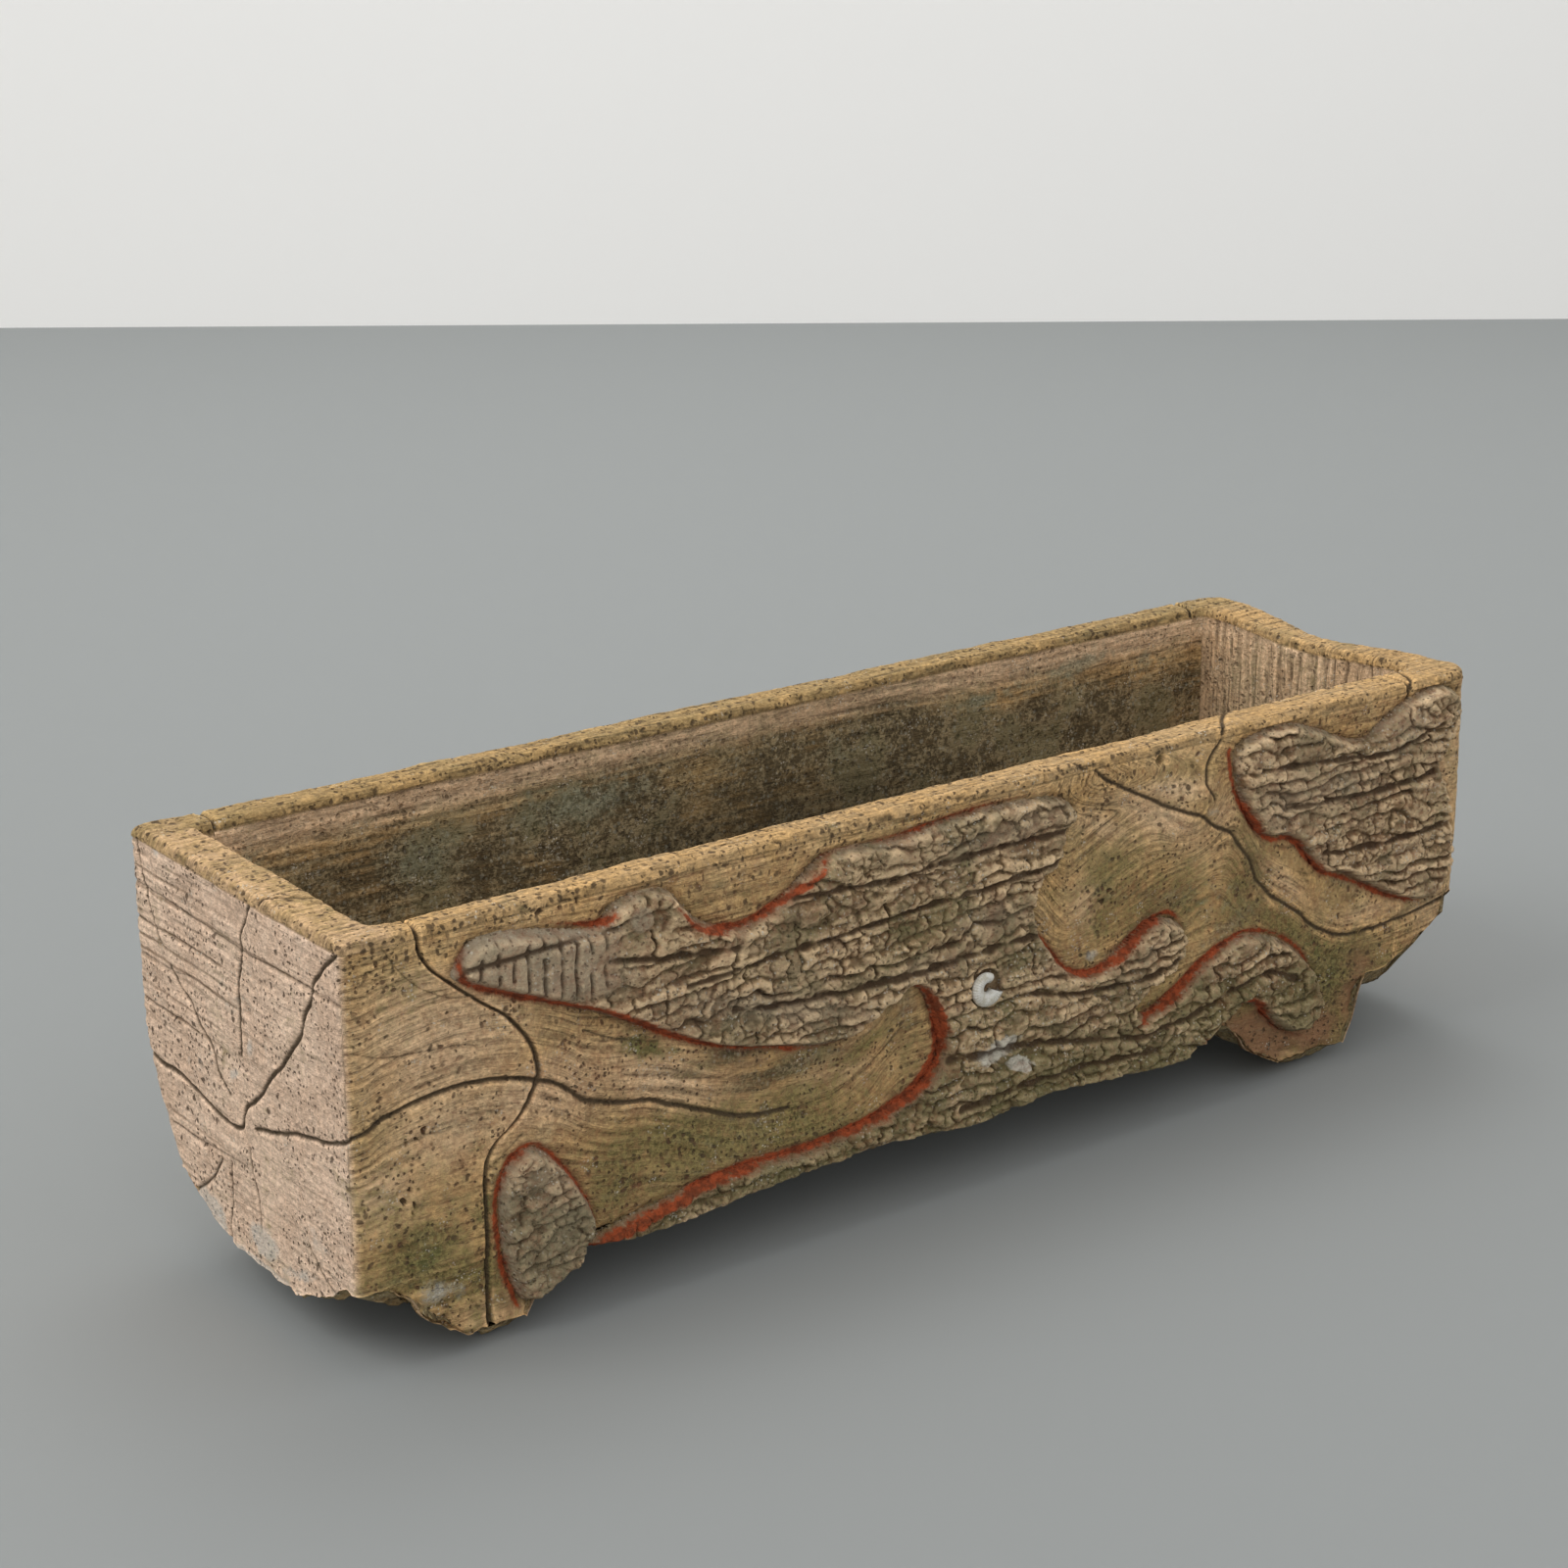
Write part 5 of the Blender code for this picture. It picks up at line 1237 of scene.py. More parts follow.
def long_bark_details(x, z, depth, height, fissure):
    """The long piece's own marks: a grey finger with sawn bands, a stub, and the seat of the shell, coloured dark as
    painted shade.
    """
    wave = functools.partial(flat_noise, x, z)
    finger = smooth(-0.280, -0.335, x + 0.02 * wave(50, 50, seed=36)) * smooth(0.215, 0.235, z)
    plain = 0.0072 + 0.0012 * wave(40, 40, 2, seed=33)
    groove = bell(z - 0.2655 - 0.03 * (x + 0.38), 0.0022)
    bands = bell(np.mod(x + 0.002 * wave(60, 60, seed=34), 0.0115) - 0.005, 0.0014)
    split = np.clip(groove + 0.95 * bands * smooth(0.0, 0.35, wave(50, 90, seed=35) + 0.36), 0, 1)
    rise_to = smooth(-0.0010, 0.0062, depth)
    banded = BARK_BURIED + (plain - 0.0034 * split - BARK_BURIED) * rise_to
    height = np.where(depth > -0.0010, height * (1 - finger) + banded * finger, height)
    fissure = fissure * (1 - finger) + split * rise_to * finger
    flat = smooth(0.45, 0.65, oval(np.column_stack((x, z)), -290, 270, 11, 12, 60))
    height = height * (1 - flat) + np.minimum(0.0085, height + 0.003) * flat
    fissure = fissure * (1 - 0.8 * flat)
    # The shell's seat: sunk, and coloured dark as a fissure, which is painted shade round the shell
    seat = smooth(0.0155, 0.0138, np.hypot(x - SHELL_PLACE[0], z - SHELL_PLACE[1] + 0.0006))
    height = height * (1 - seat) + np.minimum(height, 0.0030) * seat
    return height, np.maximum(fissure * (1 - seat), 0.7 * seat), np.clip(finger + flat, 0, 1)


def shell_piece(name):
    """An old snail shell: a fat curled horn, open at its mouth."""
    piece, column, row = new_grid(name, SHELL_ALONG, SHELL_AROUND + 1)
    share = column / (SHELL_ALONG - 1)
    around = 2 * math.pi * row / SHELL_AROUND
    horn = np.clip(share / SHELL_MOUTH, 0, 1)
    back_in = np.clip((share - SHELL_MOUTH) / SHELL_LIP, 0, 1)
    turn = math.radians(42) + math.radians(296) * horn - math.radians(38) * smooth(0.1, 1, back_in)
    reach = 0.0070 + 0.0022 * horn ** 0.8
    fat = (0.0030 + 0.0030 * horn ** 0.6) * np.where(back_in > 0, 1 - 0.16 * smooth(0, 0.15, back_in), 1)
    fat = fat * (1 - smooth(0.55, 1.0, back_in) * 0.98)
    fat = np.where(share < 0.04, fat * np.sqrt(np.clip(share / 0.04, 0, 1)), fat)
    ribs = 1 + 0.012 * np.cos(horn * 150) * (back_in == 0)
    out = reach + fat * ribs * np.cos(around)
    y = FRONT_Y - BARK_RELIEF + 0.0042 + 0.0040 * fat / 0.0054 * np.sin(around) * ribs
    points = np.column_stack((SHELL_PLACE[0] + out * np.cos(turn), y, SHELL_PLACE[1] + out * np.sin(turn)))
    place(piece, inside_box(points))
    # inner: the lip turning back into the mouth, coloured dark as painted shade
    keep_masks(piece, {"inner": (back_in > 0.04).astype(float), "along": horn})
    select_vertices(piece, np.ones(len(points), bool))
    bpy.ops.mesh.remove_doubles(threshold=1e-6)
    bpy.ops.mesh.select_all(action="DESELECT")
    bpy.ops.mesh.select_non_manifold()
    bpy.ops.mesh.edge_face_add()
    face_outwards()
    return piece


# ---------- materials ----------

WOOD_FINISH = "wood_cement_weathered"
BARK_FINISH = "bark_cement_weathered"

# Fixed tints of the materials; where there are two, the dark one comes first
HOLLOW_SHADE = (0.110, 0.075, 0.042)
SAW_TINT = (0.205, 0.120, 0.066)
GREEN_TINTS = ((0.085, 0.100, 0.028), (0.205, 0.215, 0.072))
RED_STAIN = (0.315, 0.160, 0.085)
SOIL_MOSS = (0.115, 0.125, 0.058)
SOIL_SPECK = (0.42, 0.41, 0.33)
LICHEN_TINTS = ((0.190, 0.200, 0.128), (0.340, 0.350, 0.250))
PIT_SHADE = (0.078, 0.050, 0.028)
LIME_TINT = (0.60, 0.580, 0.52)
LIME_SPECK = (0.70, 0.63, 0.51)
PAINT_STAIN = (0.265, 0.100, 0.050)
CRACK_STAIN = (0.150, 0.102, 0.050)
CRACK_DIRT_AND_SHADE = (0.080, 0.054, 0.030)
BARK_WARM = (0.215, 0.132, 0.078)
BARK_DRAB = (0.150, 0.135, 0.068)
BARK_MOSS = (0.170, 0.160, 0.068)
BARK_WORN = (0.420, 0.350, 0.250)
BARK_PIT_SHADE = (0.075, 0.055, 0.034)
BARK_LIME = (0.62, 0.58, 0.48)
FISSURE_DIRT_AND_SHADE = (0.066, 0.038, 0.020)
SHELL_TINTS = ((0.60, 0.56, 0.46), (0.80, 0.78, 0.72))
SHELL_MOUTH_SHADE = (0.115, 0.088, 0.060)
SLAB_TINTS = ((0.085, 0.072, 0.048), (0.200, 0.172, 0.120))
SLAB_SPECK = (0.36, 0.35, 0.28)
SLAB_CRUMB = (0.034, 0.026, 0.017)
STEEL_TINT = (0.22, 0.19, 0.17)
RUST_TINT = (0.20, 0.085, 0.035)


class Value:
    """A shader socket that takes part in sums."""

    def __init__(self, recipe, socket):
        self.recipe = recipe
        self.socket = socket

    def maths(self, operation, first, second):
        return self.recipe.node("ShaderNodeMath", {"operation": operation}, {0: first, 1: second})

    def __add__(self, other):
        return self.maths("ADD", self, other)

    def __sub__(self, other):
        return self.maths("SUBTRACT", self, other)

    def __rsub__(self, other):
        return self.maths("SUBTRACT", other, self)

    def __mul__(self, other):
        return self.maths("MULTIPLY", self, other)

    __radd__ = __add__
    __rmul__ = __mul__

    def ease(self, low, high):
        """0 below low, 1 above high, and smooth between; or the other way round where high is lower."""
        start, end, first, last = (low, high, 0.0, 1.0) if low < high else (high, low, 1.0, 0.0)
        return self.recipe.node("ShaderNodeMapRange", {"interpolation_type": "SMOOTHSTEP"}, {
            "Value": self, "From Min": start, "From Max": end, "To Min": first, "To Max": last})


def pick(sockets, key):
    """A socket by its number, its name or its identifier."""
    if isinstance(key, int):
        return sockets[key]
    return next(socket for socket in sockets if key in (socket.identifier, socket.name))


class Recipe:
    """One material being made. Its grains are noises round 0 that make the borders of its masks ragged."""

    def __init__(self, name, roughness):
        self.material = bpy.data.materials.new(name)
        self.material.use_nodes = True
        self.tree = self.material.node_tree
        self.shader = self.tree.nodes["Principled BSDF"]
        self.shader.inputs["Roughness"].default_value = roughness
        self.shader.inputs["Specular IOR Level"].default_value = 0.25
        self.grains = ()

    def node(self, kind, settings=None, inputs=None, output=0):
        """Any node: its settings are set first, then its sockets are filled or linked."""
        made = self.tree.nodes.new(kind)
        for key, value in (settings or {}).items():
            setattr(made, key, value)
        for key, value in (inputs or {}).items():
            self.feed(pick(made.inputs, key), value)
        return Value(self, pick(made.outputs, output))

    def feed(self, socket, value):
        if isinstance(value, Value):
            self.tree.links.new(value.socket, socket)
        else:
            socket.default_value = value

    def vector(self, operation, inputs):
        return self.node("ShaderNodeVectorMath", {"operation": operation}, inputs)

    def mask(self, name, output="Fac"):
        return self.node("ShaderNodeAttribute", {"attribute_name": name}, output=output)

    def uneven(self, name, *shares):
        """A mask with a share of each of the grains added."""
        total = self.mask(name)
        for grain, share in zip(self.grains, shares):
            if share:
                total = total + grain * share
        return total

    def place(self):
        return self.node("ShaderNodeTexCoord", output="Object")

    def noise(self, vector, scale, detail=3.0, roughness=0.55):
        return self.node("ShaderNodeTexNoise", inputs={
            "Vector": vector, "Scale": scale, "Detail": detail, "Roughness": roughness})

    def streaks(self, vector, scales, detail=3.0):
        """Noise with its own number of waves per metre each way."""
        return self.noise(self.vector("MULTIPLY", {0: vector, 1: scales}), 1.0, detail, 0.6)

    def dots(self, vector, scale, edge, chosen):
        """Scattered, uneven dots: edge says how they fade out, and chosen how few of them are there."""
        bend = self.node("ShaderNodeTexNoise", inputs={"Vector": vector, "Scale": scale * 0.9, "Detail": 2.0},
                         output="Color")
        bend = self.vector("SUBTRACT", {0: bend, 1: (0.5, 0.5, 0.5)})
        bend = self.vector("SCALE", {0: bend, "Scale": 1.1 / scale})
        bent = self.vector("ADD", {0: vector, 1: bend})
        near = self.node("ShaderNodeTexVoronoi", {"feature": "F1"}, {"Vector": bent, "Scale": scale}, "Distance")
        tint = Value(self, pick(near.socket.node.outputs, "Color"))
        number = self.node("ShaderNodeSeparateColor", inputs={0: tint})
        return near.ease(*edge) * number.ease(*chosen)

    def mix(self, factor, first, second):
        return self.node("ShaderNodeMix", {"data_type": "RGBA"}, {
            "Factor_Float": factor, "A_Color": self.tint(first), "B_Color": self.tint(second)}, "Result_Color")

    def coated(self, colour, *coats):
        """A colour with coats over it, each a factor and a colour."""
        for factor, coat in coats:
            colour = self.mix(factor, colour, coat)
        return colour

    def shade(self, colour, amount):
        """The colour made darker or lighter: amount 1 leaves it as it is."""
        return self.vector("SCALE", {0: colour, "Scale": amount})

    def tint(self, colour):
        return colour if isinstance(colour, Value) else (*colour, 1.0)

    def finished(self, colour, height, depth, roughness=None):
        """Ends the material with its colour, and with fine relief of up to a depth in metres."""
        self.feed(self.shader.inputs["Base Color"], self.tint(colour))
        bump = self.node("ShaderNodeBump", inputs={"Strength": 1.0, "Distance": depth, "Height": height})
        self.feed(self.shader.inputs["Normal"], bump)
        if roughness is not None:
            self.feed(self.shader.inputs["Roughness"], roughness)
        return self.material


def painted(recipe, colour, settings, where):
    """Old red paint over a colour, by the paint mask, worn at its edges. Also gives where it is."""
    wear = recipe.noise(where, 260, 3.0, 0.6) - 0.5
    patch = recipe.noise(where, 70, 2.0) - 0.5
    edge = recipe.mask("paint") + wear * 1.1 + patch * 0.8
    there = edge.ease(-0.02, 0.36) * 0.92
    red = recipe.mix(recipe.noise(where, 150).ease(0.36, 0.61), settings.paint_dark, settings.paint_colour)
    return recipe.coated(colour, (edge.ease(-0.62, 0.10) * 0.55, PAINT_STAIN), (there, red)), there


def cement_wood(settings):
    """Tan cement worked as wood: grain, pits, end grain, moss, soil stains, cracks, lime and old paint, with painted
    shade in its hollows, pits and cracks, beside the bark and deep inside.
    """
    recipe = Recipe(WOOD_FINISH, 0.93)
    mask, mix, noise, dots, uneven = recipe.mask, recipe.mix, recipe.noise, recipe.dots, recipe.uneven
    where = recipe.place()
    flow = mask("flow", "Vector")
    rim, ends, inside, hollow = (mask(name) for name in ("rim", "ends", "inside", "hollow"))
    broad = noise(where, 20, 4.0) - 0.5
    middle = noise(where, 120, 4.0, 0.62) - 0.5
    sand = noise(where, 360, 3.0, 0.65).ease(0.36, 0.64)
    grit = sand - 0.5
    recipe.grains = (broad, middle, grit)
    streaks = recipe.streaks(flow, (13.0, 230.0, 0.0))
    hatch = recipe.streaks(flow, (60.0, 620.0, 0.0), 2.0)
    worked = (streaks.ease(0.50, 0.66) * 0.36 + hatch.ease(0.50, 0.64) * 0.34) * (1 - ends * 0.5)

    # The cement itself: tan, pinkish at the ends, brown with dirt (inside, dirt and painted shade), and darker in its
    # hollows as painted shade
    light = mix(rim, mix(ends, settings.wood_light, settings.end_colour), settings.rim_colour)
    dark = mix(ends, settings.wood_dark, settings.end_dark)
    colour = mix((broad + middle * 0.8).ease(-0.20, 0.18), dark, light)
    colour = mix(uneven("dirt", 1.3, 0.9).ease(0.1, 1.1) * 0.75, colour, settings.dirt_colour)
    colour = recipe.shade(colour, 1.13 - worked - middle * 0.7 + grit * 0.36)
    colour = recipe.shade(colour, 1.0 - hollow * 0.52)

    # Saw lines, painted shade in the hollows, moss and stains; then soil stains and painted shade deep inside, with
    # lichen
    olive = mix((sand * 0.5 + middle).ease(0.10, 0.40), settings.moss_dark, settings.moss_colour)
    soil = recipe.coated(
        mix((middle + grit * 0.25 + broad * 0.8).ease(-0.16, 0.16), settings.soil_dark, settings.soil_colour),
        (broad.ease(0.0, 0.12) * 0.35, SOIL_MOSS),
        (dots(where, 260, (0.50, 0.20), (0.55, 0.75)) * 0.45, SOIL_SPECK),
    )
    colour = recipe.coated(
        colour,
        # Painted shade in the hollows
        (hollow.ease(0.35, 1.0) * 0.45, HOLLOW_SHADE),
        (uneven("saw", 0, 0.4).ease(0.15, 0.9) * 0.62, SAW_TINT),
        ((uneven("moss", 1.2, 1.0, 0.25) + hollow * 0.15).ease(0.10, 0.85) * 0.85, olive),
        (uneven("green", 0.8, 1.3).ease(0.30, 0.85) * 0.75, mix(sand, *GREEN_TINTS)),
        (uneven("red", 0.7, 0.8).ease(0.10, 0.80) * 0.82, RED_STAIN),
        ((uneven("soil_and_shade", 0.8, 0.35) + (streaks - 0.5) * 1.1).ease(-0.05, 0.90) * 0.95, soil),
        (uneven("lichen", 0.8, 1.2).ease(0.35, 0.90) * 0.6, mix(sand, *LICHEN_TINTS)),
    )

    # Pits: large ones in clusters, small ones all over, slits below the rim, and the holes of the mesh; their dark
    # colour is painted shade
    pits = dots(where, 140, (0.36, 0.15), (0.34, 0.42)) * (noise(where, 19, 2.0) + rim * 0.14).ease(0.46, 0.58)
    small = dots(where, 270, (0.38, 0.15), (0.46, 0.58)) * (noise(where, 33, 2.0) + rim * 0.08).ease(0.42, 0.54)
    upright = recipe.vector("MULTIPLY", {0: where, 1: (210.0, 210.0, 85.0)})
    slits = dots(upright, 1.0, (0.34, 0.14), (0.25, 0.40)) * mask("band")
    for more in (small, slits, mask("holes").ease(0.25, 0.7)):
        pits = pits + more * (1 - pits)

    # Lime, painted shade in the bed beside the bark and deep inside, paint, and cracks with dirt and painted shade
    specks = dots(where, 430, (0.42, 0.20), (0.30, 0.45))
    lime = uneven("lime", 0.4, 1.0).ease(0.30, 0.75) * (0.62 + specks * 0.38)
    stray = specks * (noise(where, 47) + ends * 0.02).ease(0.57, 0.66)
    colour = recipe.coated(colour, (pits * (0.86 - inside * 0.35), PIT_SHADE), (lime * 0.86, LIME_TINT),
                           (stray * 0.7, LIME_SPECK))
    # Painted shade: the bed beside the bark and low in the middle of the inside
    colour = recipe.shade(colour, 1 - mask("bed") * 0.25)
    colour, paint = painted(recipe, colour, settings, where)
    colour = recipe.coated(
        colour,
        (mask("halo") * (broad + middle * 1.1).ease(-0.14, 0.16) * 0.45, CRACK_STAIN),
        # Cracks and joints: dark with dirt, and with painted shade in them
        (uneven("crack", 0, 0.25).ease(0.42, 0.85) * 0.88, CRACK_DIRT_AND_SHADE),
    )
    height = streaks * 0.40 + hatch * 0.30 + sand * 0.34 + middle * 0.9 - pits * 0.85 - worked * 0.6 + paint * 0.05
    return recipe.finished(colour, height, 0.0017)


def cement_bark(settings):
    """Grey cement worked as bark: dark fissures with dirt and painted shade, painted shade in its hollows and pits,
    moss, pale scuffs and paint along its border.
    """
    recipe = Recipe(BARK_FINISH, 0.94)
    mask, mix, noise, dots, uneven = recipe.mask, recipe.mix, recipe.noise, recipe.dots, recipe.uneven
    where = recipe.place()
    hollow = mask("hollow")
    plate = mask("plate") - 0.5
    broad = noise(where, 28, 4.0) - 0.5
    middle = noise(where, 150, 4.0, 0.62) - 0.5
    sand = noise(where, 400, 3.0, 0.62).ease(0.36, 0.64)
    recipe.grains = (broad, middle, sand - 0.5)
    scuff = recipe.streaks(where, (45.0, 60.0, 260.0))
    # Painted shade in the hollows, and a tone of its own for each plate
    colour = mix((broad + middle * 0.9 - hollow * 0.25).ease(-0.20, 0.16), settings.bark_dark, settings.bark_colour)
    colour = recipe.shade(colour, 0.62 + scuff * 0.50 + sand * 0.30 - hollow * 0.36 + plate * 0.45)
    olive = mix((sand + middle).ease(0.35, 0.65), settings.moss_dark, BARK_MOSS)
    pits = dots(where, 280, (0.36, 0.16), (0.45, 0.60))
    specks = dots(where, 380, (0.42, 0.18), (0.55, 0.70)) * noise(where, 40).ease(0.44, 0.60)
    lime = uneven("lime", 0, 0.8).ease(0.35, 0.6)
    colour = recipe.coated(
        colour,
        ((noise(where, 52) - plate * 0.12).ease(0.52, 0.66) * 0.50, BARK_WARM),
        ((noise(where, 31, 4.0) - plate * 0.10).ease(0.50, 0.62) * 0.50, BARK_DRAB),
        (uneven("moss", 0.9, 0.7, 0.4).ease(0.25, 0.95) * 0.72, olive),
        (mask("pale") * 0.55 + mask("border") * middle.ease(-0.15, 0.10) * 0.32, BARK_WORN),
        # Pits, dark as painted shade
        (pits * 0.6, BARK_PIT_SHADE),
        (specks * 0.75 * (1 - lime) + lime * 0.92, BARK_LIME),
    )
    colour, _ = painted(recipe, colour, settings, where)
    # Fissures: dark with dirt and with painted shade
    colour = mix(uneven("fissure", 0, 0.35).ease(0.25, 1.0) * 0.85, colour, FISSURE_DIRT_AND_SHADE)
    return recipe.finished(colour, middle * 0.9 + scuff * 0.40 + sand * 0.34 - pits * 0.5, 0.0017)


def shell_finish():
    """Bleached shell: chalky white with growth lines, and painted shade inside its mouth."""
    recipe = Recipe("snail_shell_bleached", 0.55)
    cloud = recipe.noise(recipe.place(), 240, 4.0, 0.6)
    rings = recipe.node("ShaderNodeMath", {"operation": "SINE"}, {0: recipe.mask("along") * 190.0})
    colour = recipe.shade(recipe.mix(cloud.ease(0.35, 0.62), *SHELL_TINTS), 0.95 + rings * 0.05)
    # Painted shade inside the mouth
    colour = recipe.mix(recipe.mask("inner") * 0.85, colour, SHELL_MOUTH_SHADE)
    return recipe.finished(colour, rings * 0.3 + cloud, 0.0004)


def slab_finish():
    """The floor's cement, stained by wet soil."""
    recipe = Recipe("floor_cement_soiled", 0.95)
    noise = recipe.noise
    where = recipe.place()
    middle = noise(where, 70, 4.0, 0.65)
    specks = recipe.dots(where, 190, (0.40, 0.22), (0.55, 0.70)) * noise(where, 17, 4.0).ease(0.48, 0.62)
    crumbs = noise(where, 240).ease(0.58, 0.66)
    colour = recipe.coated(
        recipe.mix((noise(where, 9, 5.0, 0.6) + (middle - 0.5) * 0.5).ease(0.38, 0.60), *SLAB_TINTS),
        (specks * 0.6, SLAB_SPECK),
        (crumbs * 0.7, SLAB_CRUMB),
    )
    return recipe.finished(colour, middle * 0.8 + noise(where, 600, 3.0, 0.6) * 0.3 + crumbs * 0.3, 0.0016)


def steel_finish():
    """Plain steel rod with a thin coat of rust."""
    recipe = Recipe("steel_rod_rusty", 0.7)
    cloud = recipe.noise(recipe.place(), 160, 4.0, 0.65)
    rust = cloud.ease(0.42, 0.60)
    recipe.feed(recipe.shader.inputs["Metallic"], 0.85 - rust * 0.75)
    return recipe.finished(recipe.mix(rust, STEEL_TINT, RUST_TINT), cloud, 0.0003, 0.45 + rust * 0.4)


# ---------- stage ----------

def forward(yaw, pitch):
    return Vector((math.sin(yaw) * math.cos(pitch), math.cos(yaw) * math.cos(pitch), -math.sin(pitch)))


def add_camera():
    ahead = forward(CAMERA_YAW, CAMERA_PITCH)
    right = Vector((math.cos(CAMERA_YAW), -math.sin(CAMERA_YAW), 0))
    up = right.cross(ahead)
    level = right * math.cos(CAMERA_ROLL) + up * math.sin(CAMERA_ROLL)
    upright = up * math.cos(CAMERA_ROLL) - right * math.sin(CAMERA_ROLL)
    turn = Matrix((level, upright, -ahead)).transposed()
    deselect()
    bpy.ops.object.camera_add(location=CAMERA_PLACE, rotation=turn.to_euler())
    camera = bpy.context.object
    camera.name = "camera"
    camera.data.sensor_width = CAMERA_SENSOR
    camera.data.lens = CAMERA_LENS
    bpy.context.scene.camera = camera


def add_lamp(name, where, towards, size, power, tint):
    """A soft square lamp that faces a place."""
    deselect()
    bpy.ops.object.light_add(type="AREA", location=where)
    lamp = bpy.context.object
    lamp.name = name
    lamp.data.size = size
    lamp.data.energy = power
    lamp.data.color = tint
    lamp.rotation_euler = (Vector(towards) - Vector(where)).to_track_quat("-Z", "Y").to_euler()


def plain_plane(name, colour, roughness):
    """A flat plane of one plain colour, for the stage."""
    deselect()
    bpy.ops.mesh.primitive_plane_add(size=STAGE_SIZE)
    plane = bpy.context.object
    plane.name = name
    surface = bpy.data.materials.new(name)
    surface.use_nodes = True
    shader = surface.node_tree.nodes["Principled BSDF"]
    shader.inputs["Base Color"].default_value = (*colour, 1)
    shader.inputs["Roughness"].default_value = roughness
    shader.inputs["Specular IOR Level"].default_value = 0.1
    plane.data.materials.append(surface)
    return plane


def set_world(strength):
    """A plain white world: full white where it is seen, and softer as a light."""
    world = bpy.data.worlds.new("studio_world")
    bpy.context.scene.world = world
    world.use_nodes = True
    nodes = world.node_tree.nodes
    links = world.node_tree.links
    sky = nodes["Background"]
    sky.inputs["Color"].default_value = (1, 1, 1, 1)
    path = nodes.new("ShaderNodeLightPath")
    seen = path.outputs["Is Camera Ray"]
    for name in ("Is Glossy Ray", "Is Transmission Ray"):
        most = nodes.new("ShaderNodeMath")
        most.operation = "MAXIMUM"
        links.new(seen, most.inputs[0])
        links.new(path.outputs[name], most.inputs[1])
        seen = most.outputs[0]
    power = nodes.new("ShaderNodeMapRange")
    links.new(seen, power.inputs["Value"])
    power.inputs["To Min"].default_value = strength
    power.inputs["To Max"].default_value = 1.0
    links.new(power.outputs["Result"], sky.inputs["Strength"])


# ---------- the add-on ----------

def colour_choice(name, about, value):
    return bpy.props.FloatVectorProperty(
        name=name, description=about, default=value, subtype="COLOR", size=3, min=0, max=1)


def length_choice(name, about, value):
    return bpy.props.FloatProperty(name=name, description=about, default=value, unit="LENGTH", subtype="DISTANCE",
                                   min=0, precision=4)


class PlanterSettings(bpy.types.PropertyGroup):
    grain_depth: length_choice("Grain depth", "How deep the worked wood grain is", 0.0005)
    crack_depth: length_choice("Crack depth", "How deep the widest cracks are", 0.0026)
    wood_light: colour_choice("Wood, light", "Light tan of the front", (0.735, 0.490, 0.238))
    wood_dark: colour_choice("Wood, dark", "Dark tan of the front", (0.520, 0.325, 0.138))
    rim_colour: colour_choice("Rim", "Bright tan of the rim", (0.530, 0.345, 0.165))
    end_colour: colour_choice("End grain, light", "Light pinkish tan of the ends", (0.785, 0.580, 0.430))
    end_dark: colour_choice("End grain, dark", "Dark pinkish tan of the ends", (0.600, 0.425, 0.302))
    moss_colour: colour_choice("Moss, light", "Light olive of the moss", (0.275, 0.225, 0.080))
    moss_dark: colour_choice("Moss, dark", "Dark olive of the moss", (0.120, 0.108, 0.036))
    soil_colour: colour_choice("Soil stain, light", "Lighter dirt inside", (0.350, 0.272, 0.152))
    soil_dark: colour_choice("Soil stain, dark", "Darker dirt inside", (0.098, 0.075, 0.040))
    dirt_colour: colour_choice("Dirt", "Brown dirt on the front", (0.335, 0.232, 0.095))
    bark_colour: colour_choice("Bark, light", "Light grey of the bark", (0.550, 0.400, 0.236))
    bark_dark: colour_choice("Bark, dark", "Dark grey of the bark", (0.252, 0.169, 0.086))
    paint_colour: colour_choice("Paint", "Old red paint", (0.400, 0.074, 0.022))
    paint_dark: colour_choice("Paint, dark", "Old red paint where it is dirty", (0.190, 0.040, 0.014))


def finish_of(name, make, settings):
    """A material that several pieces share, made for the first of them."""
    return bpy.data.materials.get(name) or make(settings)


def add_wall(node, stations, counts, settings):
    """Makes the skin that stands for a wall or an end."""
    piece = wall_piece(f"{node}_weathered", stations, counts, settings)
    finish_piece(piece, finish_of(WOOD_FINISH, cement_wood, settings), node)


class PLANTER_OT_front_wall(bpy.types.Operator):
    """Makes the front wall, with its two root feet"""
    bl_idname = "planter.front_wall"
    bl_label = "Front wall"

    def execute(self, context):
        counts = (spread(132), 5, 10, spread(24), 16)
        add_wall("front_wall", long_ring(-1, spread(512)), counts, context.scene.planter)
        return {"FINISHED"}


class PLANTER_OT_back_wall(bpy.types.Operator):
    """Makes the back wall, with its two root feet"""
    bl_idname = "planter.back_wall"
    bl_label = "Back wall"

    def execute(self, context):
        counts = (spread(96), 5, 10, spread(96), 16)
        add_wall("back_wall", long_ring(1, spread(420)), counts, context.scene.planter)
        return {"FINISHED"}


class PLANTER_OT_ends(bpy.types.Operator):
    """Makes the two ends, which wrap round the corners to the joints"""
    bl_idname = "planter.ends"
    bl_label = "Ends"

    def execute(self, context):
        for side, node, columns, counts in (
            (-1, "left_end", (60, 186, 26), (spread(172), 5, 16, spread(48), 16)),
            (1, "right_end", (38, 120, 20), (spread(136), 5, 18, spread(110), 16)),
        ):
            add_wall(node, end_ring(side, *(spread(count) for count in columns)), counts, context.scene.planter)
        return {"FINISHED"}


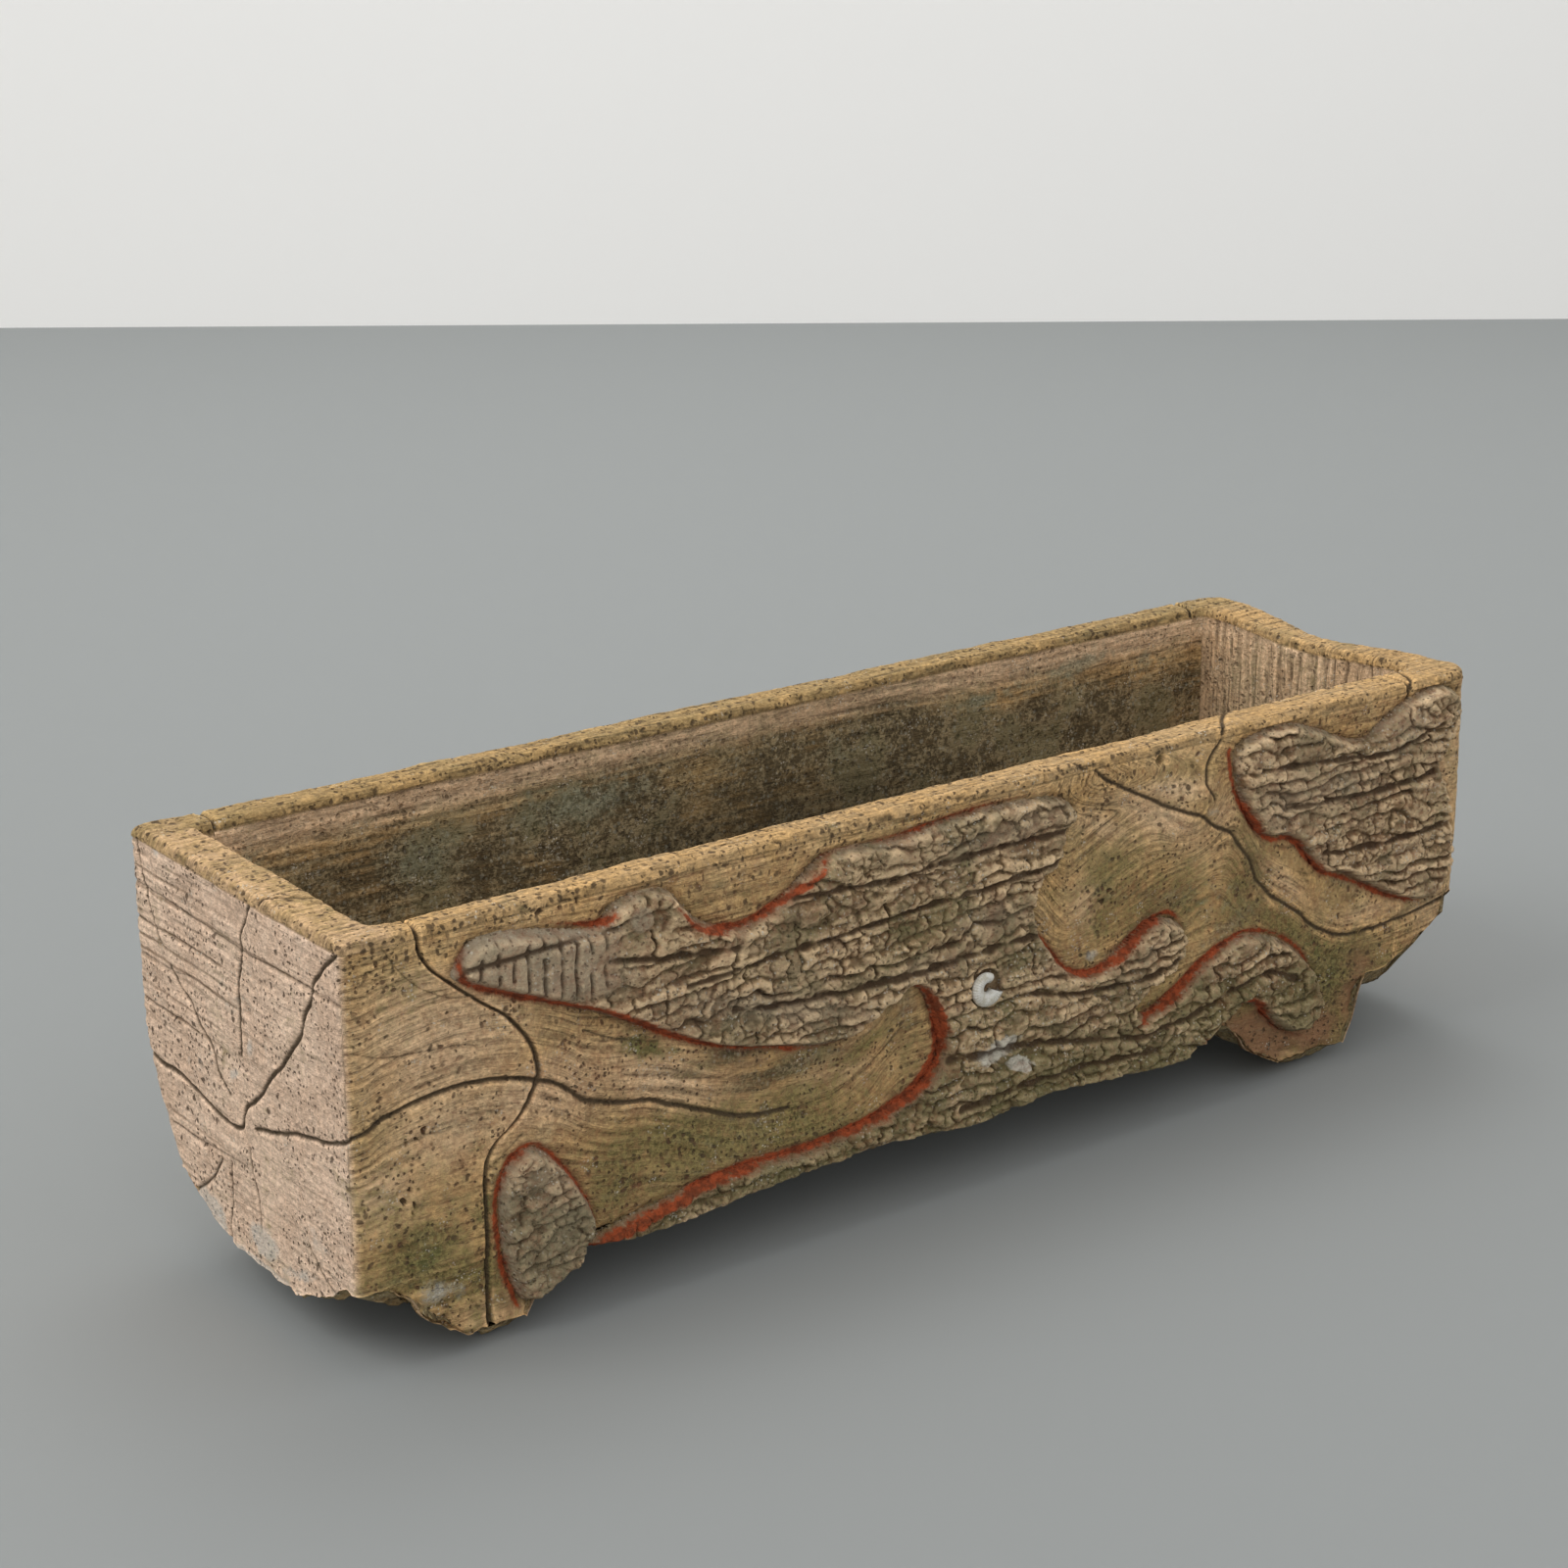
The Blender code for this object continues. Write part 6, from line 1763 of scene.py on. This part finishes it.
class PLANTER_OT_floor(bpy.types.Operator):
    """Gives the floor slabs their soiled cement"""
    bl_idname = "planter.floor"
    bl_label = "Floor"

    def execute(self, context):
        finish = slab_finish()
        for side in ("left", "middle", "right"):
            dress_node(f"floor_slab_{side}", finish)
        return {"FINISHED"}


class PLANTER_OT_bark(bpy.types.Operator):
    """Makes the bark reliefs on the front and the back"""
    bl_idname = "planter.bark"
    bl_label = "Bark"

    def execute(self, context):
        for name, node, face in (
            ("front_bark_long", "bark_front_main", -1),
            ("front_bark_foot", "bark_front_foot", -1),
            ("front_bark_upper", "bark_front_upper", -1),
            ("back_bark_long", "bark_back_long", 1),
            ("back_bark_short", "bark_back_short", 1),
        ):
            piece = bark_piece(name, (FRONT_OUTLINES if face < 0 else BACK_OUTLINES)[node], face)
            finish_piece(piece, finish_of(BARK_FINISH, cement_bark, context.scene.planter), node)
        return {"FINISHED"}


class PLANTER_OT_shell(bpy.types.Operator):
    """Makes the old snail shell on the bark"""
    bl_idname = "planter.shell"
    bl_label = "Snail shell"

    def execute(self, context):
        finish_piece(shell_piece("snail_shell_open"), shell_finish(), "snail_shell")
        return {"FINISHED"}


class PLANTER_OT_rods(bpy.types.Operator):
    """Gives the steel rods in the cement their rust"""
    bl_idname = "planter.rods"
    bl_label = "Rods"

    def execute(self, context):
        finish = steel_finish()
        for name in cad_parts:
            if name.startswith(("rim_hoop", "stirrup_", "floor_rod_")):
                dress_node(name, finish)
        return {"FINISHED"}


class PLANTER_OT_stage(bpy.types.Operator):
    """Makes the floor, the backdrop, the lamps and the camera"""
    bl_idname = "planter.stage"
    bl_label = "Stage"

    def execute(self, context):
        plain_plane("stage_floor", STAGE_FLOOR_COLOUR, 0.8)
        backdrop = plain_plane("stage_backdrop", STAGE_BACKDROP_COLOUR, 0.9)
        ahead = forward(CAMERA_YAW, 0)
        spot = Vector(CAMERA_PLACE) + ahead * BACKDROP_AWAY
        upright = (-ahead).to_track_quat("Z", "Y").to_matrix().to_4x4()
        backdrop.data.transform(Matrix.Translation((spot.x, spot.y, 0)) @ upright)
        for lamp in LAMPS:
            add_lamp(*lamp)
        set_world(WORLD_STRENGTH)
        add_camera()
        return {"FINISHED"}


def spread(count):
    return max(4, round(count / COARSER))


def dress_node(name, finish):
    """Gives a solid that stays as it is another material."""
    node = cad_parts[name]
    for slot in node.material_slots:
        slot.material = finish


MAKERS = (PLANTER_OT_front_wall, PLANTER_OT_back_wall, PLANTER_OT_ends, PLANTER_OT_floor, PLANTER_OT_bark,
          PLANTER_OT_shell, PLANTER_OT_rods, PLANTER_OT_stage)


class PLANTER_PT_panel(bpy.types.Panel):
    """Lists the planter's sizes, colours and pieces"""
    bl_idname = "PLANTER_PT_panel"
    bl_label = "Faux bois planter"
    bl_space_type = "VIEW_3D"
    bl_region_type = "UI"
    bl_category = "Planter"

    def draw(self, context):
        for name in PlanterSettings.__annotations__:
            self.layout.prop(context.scene.planter, name)
        for maker in MAKERS:
            self.layout.operator(maker.bl_idname)


CLASSES = (PlanterSettings, *MAKERS, PLANTER_PT_panel)


def register():
    for each in CLASSES:
        bpy.utils.register_class(each)
    bpy.types.Scene.planter = bpy.props.PointerProperty(type=PlanterSettings)


def unregister():
    del bpy.types.Scene.planter
    for each in reversed(CLASSES):
        bpy.utils.unregister_class(each)


def main():
    register()
    bpy.context.scene.view_settings.view_transform = "Standard"
    for make in (bpy.ops.planter.front_wall, bpy.ops.planter.back_wall, bpy.ops.planter.ends, bpy.ops.planter.floor,
                 bpy.ops.planter.bark, bpy.ops.planter.shell, bpy.ops.planter.rods, bpy.ops.planter.stage):
        make()


if __name__ == "__main__":
    main()
